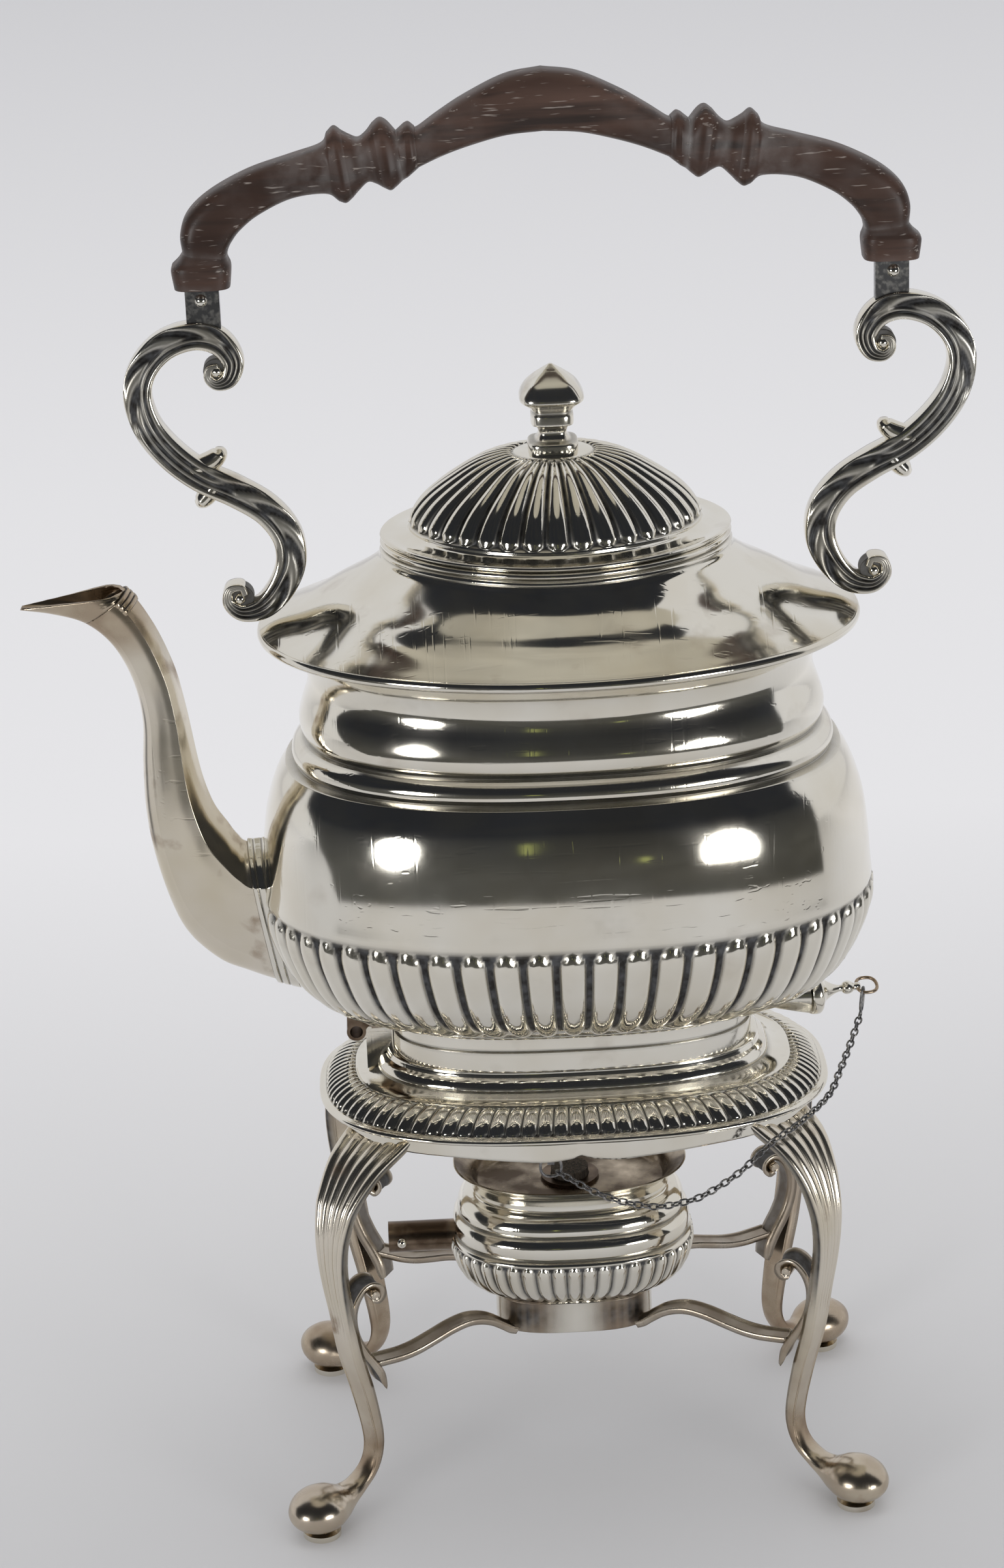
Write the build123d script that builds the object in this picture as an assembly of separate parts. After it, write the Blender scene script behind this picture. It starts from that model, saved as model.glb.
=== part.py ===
from build123d import *
import os
from math import atan2, cos, degrees, hypot, pi, radians, sin

# A silver spirit kettle on its burner stand. Millimetres, +Z up, the spout points
# along -X, the viewer stands at -Y, and the origin is on the table under the middle.

# Driving sizes
WALL = 1.0                        # sheet silver of the kettle and stand
GAP = 0.3                         # air left between curved faces that move past each other
CORNERS = {"front_left": (-1, -1), "front_right": (1, -1), "back_left": (-1, 1), "back_right": (1, 1)}
FOOT_X, FOOT_Y = 63.6, 39.0       # middle of each foot on the table
FOOT_BALL = (8.2, 7.15, 5.6)      # half sizes of a foot's drop: along, across, up
PAD_R, PAD_H = 4.6, 1.4           # little disc under each foot
LEG_TURN = 40.0                   # each leg's bending plane, degrees from the X axis
LEAN = {"front_left": 2.6}        # a leg that was bent out: its foot stands this much further out
APRON_A, APRON_B = 60.3, 37.6     # outside of the stand's apron
APRON_T = 1.3
STAND_N = 2.65                    # roundness of the stand's cushion-shaped plan
STAND_Z = 99.6                    # underside of the stand's top
SEAT_Z = 111.0                    # the flat seat that the kettle's foot stands on
SEAT_A, SEAT_B = 39.0, 18.3       # opening in the seat, over the flame
BODY_Z = 120.5                    # underside of the kettle's floor
RIM_Z = 217.5                     # where body and shoulder are soldered together
COLLAR_A, COLLAR_B = 39.7, 32.5   # outside of the collar round the filling hole
COLLAR_TOP = 237.2
COLLAR_BEADS = (234.2, 236.0)
HINGE_X, HINGE_Z = -51.6, 116.6   # axis of the tilting hinge, along Y
HINGE_R, HINGE_BORE = 2.3, 1.55
HINGE_HALF, CRADLE_HALF = 7.0, 4.0
PIN_X, PIN_Z, PIN_TURN = 40.6, 116.9, 10.0   # lock pin: crosses y = 0 here, points out to the right
PIN_R = 1.55
RING_TILT = -22.0                 # how far the pin's ring leans towards the viewer
BURNER_X = -1.6                   # the burner and its ring stand a little left of the middle
RING_A, RING_B, RING_N = 19.1, 12.6, 3.0
RING_Z0, RING_Z1 = 36.0, 44.2
NECK_Z = 71.0                     # the burner's cover lifts off here
SOCKET_R, SOCKET_BORE = 3.8, 3.0  # tube for the burner's lost wooden grip, along X
SOCKET_MOUTH_X, SOCKET_Z = -46.6, 57.8

# Half width, front-to-back half width, roundness and height of each level of the kettle's body
BELLY_TOP = 13                    # levels of the body below its neck
BODY = [(44.6, 23.0, 2.6, 120.5), (45.4, 23.9, 2.6, 122.2), (50.0, 28.0, 2.6, 124.0),
        (56.5, 34.2, 2.55, 126.4), (62.0, 39.2, 2.5, 129.9), (66.6, 43.3, 2.5, 135.6),
        (70.0, 46.0, 2.45, 142.8), (71.6, 47.2, 2.4, 148.0), (72.0, 47.5, 2.4, 152.0),
        (71.6, 47.4, 2.4, 157.0), (71.0, 47.2, 2.4, 165.0), (69.8, 46.4, 2.4, 173.0),
        (67.5, 44.8, 2.4, 180.0), (64.8, 42.6, 2.35, 184.8), (62.4, 40.6, 2.35, 185.4),
        (62.8, 41.0, 2.3, 187.5),
        (61.2, 39.8, 2.3, 190.6), (59.4, 38.2, 2.3, 191.2), (60.6, 39.4, 2.3, 194.0),
        (60.4, 39.4, 2.3, 198.0), (59.0, 38.4, 2.25, 202.0), (58.6, 38.2, 2.2, 206.0),
        (60.0, 39.6, 2.2, 210.0), (63.6, 43.4, 2.15, 213.6), (69.0, 49.4, 2.1, 215.0),
        (69.4, 49.8, 2.1, 216.2), (69.0, 49.4, 2.1, 217.5)]
SHOULDER = [(69.0, 49.4, 2.1, 217.5), (66.6, 47.6, 2.1, 218.6), (59.7, 43.0, 2.05, 221.6),
            (53.2, 39.6, 2.0, 225.2), (46.3, 36.0, 1.95, 228.8), (40.5, 33.2, 1.9, 232.8),
            (COLLAR_A, COLLAR_B, 1.9, 233.6), (COLLAR_A, COLLAR_B, 1.9, COLLAR_TOP)]
DOME = [(33.5, 27.0, 1.9, 238.5), (33.4, 26.9, 1.9, 240.2), (32.0, 25.6, 1.9, 243.4),
        (29.0, 23.2, 1.9, 246.8), (24.0, 19.4, 1.95, 250.4), (17.0, 14.2, 2.0, 254.3),
        (10.0, 8.8, 2.0, 256.1), (6.4, 6.0, 2.0, 256.6)]
# Finial: half width of the rounded square and height
FINIAL = [(5.6, 256.6), (5.6, 258.9), (4.0, 259.3), (3.3, 260.4), (3.5, 262.2), (4.8, 262.9), (4.8, 265.7),
          (4.9, 266.3), (7.3, 268.8), (7.0, 270.3), (6.0, 272.4), (4.4, 274.4), (2.4, 275.8), (0.5, 276.4)]
FINIAL_N = 3.5
# Stand top from its lower edge up to the seat
STAND_TOP = [(61.0, 38.3, STAND_Z), (61.2, 38.5, 100.4), (61.0, 38.3, 101.2), (59.5, 36.8, 101.4),
             (57.6, 34.9, 103.6), (54.8, 32.1, 105.2), (52.2, 29.5, 105.6), (51.4, 28.7, 104.8),
             (47.0, 24.2, 106.6), (46.6, 23.9, 108.0), (45.2, 22.9, 109.8), (43.6, 21.9, SEAT_Z)]
BURNER = [(17.3, 11.0, 38.2), (17.3, 11.0, 44.6), (20.2, 13.4, 45.2), (24.2, 17.0, 47.3),
          (27.3, 19.8, 50.3), (28.9, 21.3, 53.9), (29.6, 22.0, 57.2), (29.3, 21.8, 58.9),
          (28.3, 20.9, 59.7), (28.9, 21.4, 61.4), (28.7, 21.3, 63.6), (27.0, 19.8, 65.2),
          (27.5, 20.2, 66.8), (26.6, 19.3, 68.8), (24.2, 17.2, 70.5), (24.0, 17.0, NECK_Z)]
FUNNEL = [(24.0, 17.0, 71.3), (24.3, 17.3, 72.6), (25.6, 18.5, 75.2), (28.2, 21.0, 77.6)]

# Leg: distance from the foot along its plane, height, half width across
LEG = [(-25.2, 99.4, 10.2), (-20.7, 96.8, 9.8), (-14.8, 92.4, 8.6), (-10.8, 85.8, 6.8), (-8.5, 77.9, 5.3),
       (-8.0, 71.1, 4.4), (-8.6, 64.0, 3.8), (-10.0, 55.7, 3.4), (-12.1, 43.6, 3.4), (-14.8, 33.8, 3.3),
       (-17.2, 22.2, 2.8), (-17.1, 15.9, 2.6), (-14.6, 11.3, 2.8), (-9.6, 7.9, 3.6), (-4.3, 6.6, 4.4)]
LEG_HALF = 1.35
LEAN_FROM, LEAN_TO = 84.0, 97.0      # heights between which a leg's lean fades out
# Brace between a leg and the burner ring: distance from the leg, height
BRACE_FROM, BRACE_TO = (50.5, 28.0), (14.6, 10.5)
ARM = [(40.0, 36.9), (37.5, 37.8), (35.6, 39.3), (32.6, 41.4), (29.3, 42.7), (26.0, 43.1), (21.9, 42.5),
       (17.4, 41.2), (12.9, 40.0), (8.9, 39.5), (5.0, 39.6), (1.6, 39.8)]
SCROLL = [(2.8, 34.9), (2.0, 37.4), (0.2, 40.8), (-1.9, 44.2), (-3.7, 48.3), (-4.5, 52.3), (-4.3, 55.8),
          (-3.0, 59.0), (-1.0, 61.1), (1.1, 61.4)]
BRACE_EYE = (1.0, 59.3)
ARM_HALF, SCROLL_HALF = 2.4, 3.35

# Spout: underside x, z, upper side x, z, half width along Y
SPOUT = [(-54.0, 131.0, -60.0, 164.0, 11.4), (-62.0, 125.8, -66.0, 165.0, 11.4),
         (-69.4, 128.4, -74.6, 164.1, 11.0),
         (-76.5, 131.3, -77.3, 166.2, 10.6), (-83.0, 134.4, -79.3, 169.4, 10.1),
         (-89.8, 141.2, -81.6, 173.0, 9.6), (-93.6, 149.4, -83.0, 176.4, 9.1),
         (-96.8, 162.2, -84.3, 181.0, 8.7), (-98.1, 173.7, -85.2, 185.6, 8.3),
         (-98.0, 184.9, -86.0, 191.0, 8.0), (-97.4, 196.1, -87.3, 199.6, 7.6),
         (-99.1, 206.1, -89.3, 209.0, 7.1), (-103.1, 214.6, -93.4, 219.4, 6.6),
         (-108.9, 220.0, -99.0, 227.6, 6.0), (-116.0, 222.4, -108.0, 232.0, 4.8),
         (-123.6, 223.7, -119.5, 231.0, 2.6)]
SOCKET_PROUD = 0.8                # the moulding at the spout's root stands this far out
LIP_FROM, LIP_TO = (-101.3, 227.5), (-123.6, 223.9)
STRAINER_X, STRAINER_Z, STRAINER_R = -69.6, 147.0, 8.6

# Handle, right half of its outline in the plane y = 0
HANDLE_TOP = [(0.0, 343.2), (8.0, 341.9), (16.8, 337.9), (23.0, 334.2), (27.6, 331.1)]
HANDLE_BEADS = [(29.6, 332.2), (32.4, 330.4), (34.4, 332.7), (36.0, 333.4), (37.6, 332.3), (40.9, 329.3),
                (44.4, 330.9), (46.1, 332.0), (47.7, 330.7)]
HANDLE_ARM = [(49.2, 328.3), (56.0, 326.2), (65.5, 323.3), (74.1, 319.0), (79.2, 314.6), (81.1, 310.0),
              (80.9, 305.4)]
HANDLE_BLOCK = [(82.8, 303.6), (83.7, 302.4), (83.2, 297.6), (70.7, 297.6), (70.2, 302.4), (70.9, 303.6)]
HANDLE_UNDER = [(70.9, 305.6), (68.2, 309.9), (64.2, 313.2), (56.7, 316.8), (49.2, 317.8)]
HANDLE_LOW_BEADS = [(45.6, 316.0), (43.9, 315.4), (42.2, 316.6), (38.9, 319.7), (35.6, 318.6),
                    (33.9, 317.8), (32.3, 318.9), (30.2, 320.4), (27.4, 322.8)]
HANDLE_ARCH = [(21.6, 325.2), (15.3, 327.2), (8.0, 328.9), (0.0, 329.5)]
HANDLE_HALF = 5.6
# Bracket: middle line of its S scroll on the right, x, z, half height of the strap
BRACKET = [(75.4, 275.9, 1.2), (71.9, 276.7, 1.9), (71.2, 280.8, 2.3), (74.2, 284.9, 2.7),
           (79.8, 286.6, 3.0), (86.5, 284.6, 3.1), (91.4, 279.6, 3.1), (93.1, 273.2, 3.1),
           (91.2, 265.8, 3.2), (86.5, 259.3, 3.3), (80.1, 253.9, 3.3), (72.5, 249.9, 3.3),
           (65.6, 245.2, 3.3), (61.4, 239.2, 3.4), (60.8, 232.8, 3.3), (63.2, 226.9, 3.0),
           (67.4, 222.8, 2.4), (72.0, 221.4, 1.7)]
UPPER_EYE, LOWER_EYE = (75.1, 278.4), (72.4, 224.8)
EYE_R = 3.5
BRACKET_HALF = 2.8

# Route of the lock pin's chain, from the ring under the apron up to the pin
CHAIN_ROUTE = [(-5.9, -35.25, 91.35), (-1.1, -36.6, 88.6), (4.1, -37.6, 85.9), (10.1, -38.3, 83.8),
               (16.7, -38.9, 82.7), (22.7, -39.2, 83.5), (28.3, -39.2, 85.3), (36.7, -38.8, 90.6),
               (44.2, -37.2, 96.9), (52.2, -31.4, 99.5), (59.7, -20.6, 100.6), (63.4, -12.6, 103.3),
               (66.0, -6.6, 105.6), (68.4, -1.4, 108.4), (70.3, 3.0, 110.9)]
LINK_PITCH, LINK_LENGTH, LINK_WIDTH, LINK_WIRE = 1.8, 2.75, 2.0, 0.5
END_LENGTH, END_WIDTH, END_WIRE = 6.8, 3.0, 0.8
END_LINK = (70.6, 3.25, 114.25)   # middle of the long last link
CHAIN_EYE_X, CHAIN_EYE_Y = -7.3, -35.3
CHAIN_RING_Z, CHAIN_RING_R, CHAIN_RING_WIRE = 92.6, 2.45, 0.35
PIN_RING_AT, PIN_RING_R, PIN_RING_WIRE = 31.85, 2.5, 0.46     # place along the lock pin, radius, wire
TANG_HALF = 1.4                   # half thickness of the plates that carry the handle
TANG_RIVET = (77.5, 294.6, 1.5, 0.9)   # x, z, radius and height of the rivet heads on the tangs


def oval_wire(a, b, n, z, x0=0.0):
    """Closed curve |x/a|^n + |y/b|^n = 1 at height z: an ellipse at n = 2, squarer above it."""
    steps = 36
    points = []
    for i in range(steps):
        c, s = cos(2 * pi * i / steps), sin(2 * pi * i / steps)
        reach = (abs(c) ** n + abs(s) ** n) ** (-1 / n)
        points.append((x0 + a * reach * c, b * reach * s, z))
    return Wire([Spline(*points, periodic=True)])


def oval_solid(levels, grow=0.0, x0=0.0):
    """Solid through oval levels (a, b, n, z), each side grown outwards by grow."""
    wires = [oval_wire(a + grow, b + grow, n, z, x0) for a, b, n, z in levels]
    return Solid.make_loft(wires, ruled=True)


def with_n(levels, n):
    """The same roundness n for every level (a, b, z)."""
    return [(a, b, n, z) for a, b, z in levels]


def prism(a, b, n, z0, z1, x0=0.0):
    """Upright oval block."""
    return oval_solid([(a, b, n, z0), (a, b, n, z1)], 0.0, x0)


def xz_prism(outline, half, y=0.0):
    """A closed outline of x, z points carried half to each side of y."""
    face = make_face(Polyline(*[(x, y, z) for x, z in outline], close=True))
    return extrude(face, amount=half, dir=(0, 1, 0), both=True)


def ribbon(line, plane, half):
    """A strap: a middle line of (u, v, half height) in a plane, carried half to each side of the plane."""
    left = []
    right = []
    for i, (u, v, h) in enumerate(line):
        u0, v0 = line[max(i - 1, 0)][:2]
        u1, v1 = line[min(i + 1, len(line) - 1)][:2]
        size = hypot(u1 - u0, v1 - v0)
        side_u, side_v = -(v1 - v0) / size * h, (u1 - u0) / size * h
        left.append(plane.from_local_coords((u + side_u, v + side_v, 0)))
        right.append(plane.from_local_coords((u - side_u, v - side_v, 0)))
    edges = [Spline(*left), Line(left[-1], right[-1]), Spline(*right[::-1]), Line(right[0], left[0])]
    return extrude(make_face(edges), amount=half, dir=plane.z_dir, both=True)


def eye(plane, centre, radius, half):
    """Round boss in the middle of a scroll."""
    spot = plane.from_local_coords((centre[0], centre[1], 0))
    return Plane(origin=spot, z_dir=plane.z_dir) * Cylinder(radius, 2 * half)


def rivet(x, y, z, radius, height, side):
    """Low domed rivet head standing on a face whose outward normal is side * Y."""
    ball_r = (radius ** 2 + height ** 2) / (2 * height)
    ball = Pos(x, y + side * (height - ball_r), z) * Sphere(ball_r)
    keep = Pos(x, y + side * height / 2, z) * Box(2 * radius + 1, height, 2 * radius + 1)
    return ball & keep


def slot_cutter(radius, x_from, x_to):
    """Round passage along the lock pin, open downwards, so that it can lift off the pin."""
    middle, length = (x_from + x_to) / 2, x_to - x_from
    bore = Rot(0, 90, 0) * Cylinder(radius, length)
    return pin_place() * Pos(middle, 0, 0) * (bore + Pos(0, 0, -6) * Box(length, 2 * radius, 12))


def pin_place():
    """Frame of the lock pin: X runs outwards along it."""
    return Location((PIN_X, 0, PIN_Z), (0, 0, PIN_TURN))


# Stand

def make_stand_top():
    """Cushion-shaped sheet frame with a bead, a sloping border, a valley and the seat; open in the middle."""
    outer = oval_solid(with_n(STAND_TOP, STAND_N))
    under = [(59.6, 36.9, STAND_Z - 1), (59.4, 36.7, 100.6), (56.6, 33.9, 102.4), (52.0, 29.3, 103.6),
             (46.6, 24.0, 105.2), (42.6, 20.9, SEAT_Z - WALL - 0.3)]
    shell = outer - oval_solid(with_n(under, STAND_N))
    return shell - prism(SEAT_A, SEAT_B, STAND_N, STAND_Z, SEAT_Z + 1)


def make_apron(legs):
    """Narrow upright band under the bead, with two shallow lobes at the front and back."""
    low, cusp, plain, narrow = 94.8, 96.2, 96.9, 99.0
    half_span, corner, far, lobe_x = 46, 54, 70, 8.5
    band = prism(APRON_A, APRON_B, STAND_N, low, STAND_Z)
    band = band - prism(APRON_A - APRON_T, APRON_B - APRON_T, STAND_N, low - 1, STAND_Z + 1)
    edge = Spline((-half_span, 0, plain), (-30, 0, 96.3), (-lobe_x, 0, low), (0, 0, cusp), (lobe_x, 0, low),
                  (30, 0, 96.3), (half_span, 0, plain))
    rest = Polyline((half_span, 0, plain), (corner, 0, narrow), (far, 0, narrow), (far, 0, low - 3),
                    (-far, 0, low - 3), (-far, 0, narrow), (-corner, 0, narrow), (-half_span, 0, plain))
    cutter = extrude(make_face([edge, *rest.edges()]), amount=60, dir=(0, 1, 0), both=True)
    band = band - cutter
    for leg in legs:
        band = band - leg
    return band


def foot_place(side_x, side_y, lean):
    """Middle of a foot on the table."""
    reach_x, reach_y = FOOT_X + lean * cos(radians(LEG_TURN)), FOOT_Y + lean * sin(radians(LEG_TURN))
    return Vector(side_x * reach_x, side_y * reach_y, 0)


def make_leg(side_x, side_y, lean):
    """Curved strap, wide at the top and slim at the ankle, cast in one with its drop-shaped foot."""
    turn = degrees(atan2(side_y * sin(radians(LEG_TURN)), side_x * cos(radians(LEG_TURN))))
    along = Vector(1, 0, 0).rotate(Axis.Z, turn)
    across = Vector(0, 1, 0).rotate(Axis.Z, turn)
    base = foot_place(side_x, side_y, lean)
    bend = Plane(origin=base, x_dir=along, z_dir=along.cross(Vector(0, 0, 1)))
    held = [min(max((z - LEAN_FROM) / (LEAN_TO - LEAN_FROM), 0), 1) for s, z, w in LEG]
    strap = ribbon([(s - lean * share, z, LEG_HALF) for (s, z, w), share in zip(LEG, held)], bend, 12)
    right = [base + across * w + Vector(0, 0, z) for s, z, w in LEG]
    left = [base - across * w + Vector(0, 0, z) for s, z, w in LEG]
    edges = [Spline(*right), Line(right[-1], left[-1]), Spline(*left[::-1]), Line(left[0], right[0])]
    taper = extrude(make_face(edges), amount=45, dir=along, both=True)
    strap = strap & taper
    drop = Location(base + Vector(0, 0, PAD_H + FOOT_BALL[2]), (0, 0, turn)) * scale(Sphere(1), by=FOOT_BALL)
    leg = strap + drop
    table = Pos(base.X, base.Y, PAD_H / 2 - 1) * Box(30, 30, PAD_H + 2)
    ceiling = Pos(0, 0, STAND_Z + 5) * Box(200, 200, 10)
    return leg - table - ceiling


def make_foot_pads():
    """Four thin discs that the feet stand on."""
    pads = []
    for name, sides in CORNERS.items():
        foot = foot_place(*sides, LEAN.get(name, 0))
        pads.append(Pos(foot.X, foot.Y, PAD_H / 2) * Cylinder(PAD_R, PAD_H))
    return Compound(children=pads)


def make_brace(side_x, side_y, lean, leg, ring_form):
    """Scroll arm from the burner ring out to the leg's inner face."""
    start = Vector(side_x * BRACE_FROM[0], side_y * BRACE_FROM[1], 0)
    start = start + foot_place(side_x, side_y, lean) - foot_place(side_x, side_y, 0)
    end = Vector(BURNER_X + side_x * BRACE_TO[0], side_y * BRACE_TO[1], 0)
    along = (end - start).normalized()
    plane = Plane(origin=start, x_dir=along, z_dir=along.cross(Vector(0, 0, 1)))
    stretch = (end - start).length / ARM[0][0]
    arm = ribbon([(s * stretch, z, 0.95) for s, z in ARM], plane, ARM_HALF)
    count = len(SCROLL) - 1
    curl = [(s, z, 0.95 if 0 < i < count else 1.1) for i, (s, z) in enumerate(SCROLL)]
    scroll = ribbon(curl, plane, SCROLL_HALF)
    brace = arm + scroll + eye(plane, BRACE_EYE, 2.1, SCROLL_HALF + 0.3)
    return brace - leg - ring_form


def make_burner_ring():
    """Low oval cup without a floor that holds the burner's foot."""
    ring = prism(RING_A, RING_B, RING_N, RING_Z0, RING_Z1, BURNER_X)
    return ring - prism(RING_A - 1.2, RING_B - 1.2, RING_N, RING_Z0 - 1, RING_Z1 + 1, BURNER_X)


def make_hinge_cradle(stand_envelope):
    """Open trough on the stand that the kettle's hinge tube lies in."""
    inner_r, outer_r = HINGE_R + 0.2, HINGE_R + 1.3
    trough = Pos(HINGE_X, 0, HINGE_Z) * Rot(90, 0, 0) * Cylinder(outer_r, 2 * CRADLE_HALF)
    lower = xz_prism([(HINGE_X - 2.0, HINGE_Z - 9), (HINGE_X - 2.0, HINGE_Z - 2.8), (HINGE_X, HINGE_Z),
                      (HINGE_X + 9, HINGE_Z - 0.4), (HINGE_X + 9, HINGE_Z - 9)], CRADLE_HALF)
    web = xz_prism([(-49.4, 104), (-49.4, 116.0), (-43.3, 116.0), (-43.3, 104)], CRADLE_HALF)
    seat = Pos(HINGE_X, 0, HINGE_Z) * Rot(90, 0, 0) * Cylinder(inner_r, 4 * HINGE_HALF)
    return (trough & lower) + web - seat - stand_envelope


def make_pin_catch():
    """Upright tab inside the kettle's foot with the hole that the lock pin ends in."""
    tab = prism(41.1, 20.4, STAND_N, SEAT_Z, 119.6) - prism(SEAT_A, SEAT_B, STAND_N, SEAT_Z - 1, 121)
    tab = tab & (Pos(40, 0, 115) * Box(6, 9, 12))
    return tab - pin_place() * Rot(0, 90, 0) * Cylinder(PIN_R + 0.08, 12)


def make_chain_eye(apron):
    """Small lug soldered behind the apron, drilled for the chain's first ring."""
    lug = Pos(CHAIN_EYE_X, CHAIN_EYE_Y, 96.6) * Box(1.6, 2.2, 5.8)
    top_of_ring = CHAIN_RING_Z + CHAIN_RING_R
    return lug - apron - Pos(CHAIN_EYE_X, CHAIN_EYE_Y, top_of_ring) * Rot(0, 90, 0) * Cylinder(0.5, 3)


def make_chain_ring():
    """Ring that hangs from the lug and holds the chain."""
    return Pos(CHAIN_EYE_X, CHAIN_EYE_Y, CHAIN_RING_Z) * Rot(90, 0, 0) * Torus(CHAIN_RING_R, CHAIN_RING_WIRE)


def make_link(place, length, width, wire):
    """One oval chain link, its length along the place's X axis and flat in its XY plane."""
    r = (width - wire) / 2
    half = (length - wire) / 2 - r
    slot = [Line((-half, -r, 0), (half, -r, 0)),
            ThreePointArc((half, -r, 0), (half + r, 0, 0), (half, r, 0)),
            Line((half, r, 0), (-half, r, 0)),
            ThreePointArc((-half, r, 0), (-half - r, 0, 0), (-half, -r, 0))]
    section = Plane(origin=(0, -r, 0), z_dir=(1, 0, 0)) * Circle(wire / 2)
    return place * sweep(section, path=Wire(slot))


def make_chain():
    """Links one pitch apart along the route, turned a quarter from one to the next, and the long end link."""
    route = Spline(*CHAIN_ROUTE)
    count = int(route.length / LINK_PITCH)
    links = []
    for i in range(count):
        at = (i + 0.5) / count
        along = route % at
        side = Vector(0, 0, 1).cross(along).normalized()
        normal = side if i % 2 else along.cross(side)
        place = Plane(origin=route @ at, x_dir=along, z_dir=normal)
        links.append(make_link(place, LINK_LENGTH, LINK_WIDTH, LINK_WIRE))
    along = Vector(0.09, 0.06, 1).normalized()
    side = Vector(-0.39, -0.92, 0)
    end_place = Plane(origin=END_LINK, x_dir=along, z_dir=side.cross(along))
    links.append(make_link(end_place, END_LENGTH, END_WIDTH, END_WIRE))
    print("chain of", len(links), "links,", round(route.length, 1), "mm")
    return Compound(children=[Solid(link.solid().wrapped) for link in links])


# Kettle

def make_body(spout_hole):
    """Bulging sheet body with floor, stepped neck and flared rim; open on top and behind the spout."""
    outer = oval_solid(BODY)
    inner_levels = [(43.6, 22.0, 2.6, BODY_Z + WALL + 0.2)]
    inner_levels += [(a - WALL, b - WALL, n, z + 0.6) for a, b, n, z in BODY[1:BELLY_TOP - 3]]
    inner_levels += [(a - WALL, b - WALL, n, z) for a, b, n, z in BODY[BELLY_TOP - 3:BELLY_TOP]]
    inner_levels += [(61.2, 39.4, 2.35, 185.4), (60.2, 38.6, 2.3, 190.6), (58.4, 37.2, 2.3, 192.0),
                     (58.2, 37.2, 2.25, 200.0), (57.4, 37.0, 2.2, 206.0), (58.8, 38.4, 2.2, 210.6),
                     (62.6, 42.4, 2.15, 214.4), (67.8, 48.2, 2.1, 215.8), (67.8, 48.2, 2.1, RIM_Z + 1)]
    return outer - oval_solid(inner_levels) - spout_hole


def make_shoulder():
    """Sloping top of the kettle that ends in the upright collar round the filling hole."""
    outer = oval_solid(SHOULDER)
    inside_a, inside_b = COLLAR_A - WALL, COLLAR_B - WALL
    inner = [(67.0, 47.4, 2.1, RIM_Z - 0.5), (66.0, 46.6, 2.1, 217.7), (58.6, 41.9, 2.05, 220.6),
             (52.2, 38.5, 2.0, 224.2), (45.4, 35.0, 1.95, 227.8), (39.4, 32.1, 1.9, 232.0),
             (inside_a, inside_b, 1.9, 233.0), (inside_a, inside_b, 1.9, COLLAR_TOP + 1)]
    shoulder = outer - oval_solid(inner)
    for z in COLLAR_BEADS:
        bead = prism(COLLAR_A + 0.5, COLLAR_B + 0.5, 1.9, z, z + 0.7)
        shoulder = shoulder + (bead - prism(COLLAR_A - 0.5, COLLAR_B - 0.5, 1.9, z - 1, z + 2))
    return shoulder


def make_kettle_foot():
    """Upright oval foot, a little proud below its step, slotted to drop over the lock pin."""
    levels = [(43.1, 22.3, 2.7, SEAT_Z + 0.02), (43.1, 22.3, 2.7, 115.8), (42.6, 21.8, 2.7, 116.2),
              (42.6, 21.8, 2.7, 119.3), (43.4, 22.5, 2.7, 119.8), (43.4, 22.5, 2.65, BODY_Z)]
    foot = oval_solid(levels) - prism(41.6, 20.9, 2.7, SEAT_Z - 1, BODY_Z + 1)
    return foot - slot_cutter(PIN_R + 0.2, -1.5, 4.5)


def make_hinge_tube(body_envelope):
    """Hollow hinge tube on a web under the kettle's belly."""
    tube = Pos(HINGE_X, 0, HINGE_Z) * Rot(90, 0, 0) * Cylinder(HINGE_R, 2 * HINGE_HALF)
    web = xz_prism([(-53.7, HINGE_Z + 0.4), (-53.7, 127.0), (-45.6, 127.0), (-45.6, 121.4), (-48.6, 118.0),
                    (-49.5, HINGE_Z + 0.4)], HINGE_HALF)
    bore = Pos(HINGE_X, 0, HINGE_Z) * Rot(90, 0, 0) * Cylinder(HINGE_BORE, 4 * HINGE_HALF)
    return tube + web - bore - body_envelope


def make_pin_socket(body_envelope, foot_envelope):
    """Horn-shaped socket under the belly that hoods the lock pin."""
    horn = make_face(Polyline((3.2, 0), (3.2, 2.6), (7.2, 2.6), (16.6, 5.0), (16.6, 0), close=True))
    horn = pin_place() * revolve(horn, axis=Axis.X)
    web = pin_place() * Pos(9.9, 0, 5.8) * Box(13.4, 3.0, 11.6)
    return horn + web - slot_cutter(PIN_R + 0.2, 0, 20) - body_envelope - foot_envelope


def spout_sections(grow):
    """Closed twelve-sided sections across the spout, grown outwards by grow."""
    wires = []
    for px, pz, qx, qz, half_y in SPOUT:
        half = hypot(qx - px, qz - pz) / 2
        ux, uz = (qx - px) / (2 * half), (qz - pz) / (2 * half)
        mx, mz = (px + qx) / 2, (pz + qz) / 2
        points = []
        for i in range(12):
            c, s = cos(2 * pi * i / 12), sin(2 * pi * i / 12)
            reach = (abs(c) ** 1.9 + abs(s) ** 1.9) ** (-1 / 1.9)
            u, v = (half + grow) * reach * c, (half_y + grow) * reach * s
            points.append((mx + ux * u, v, mz + uz * u))
        wires.append(Wire(Polyline(*points, close=True).edges()))
    return wires


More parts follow.
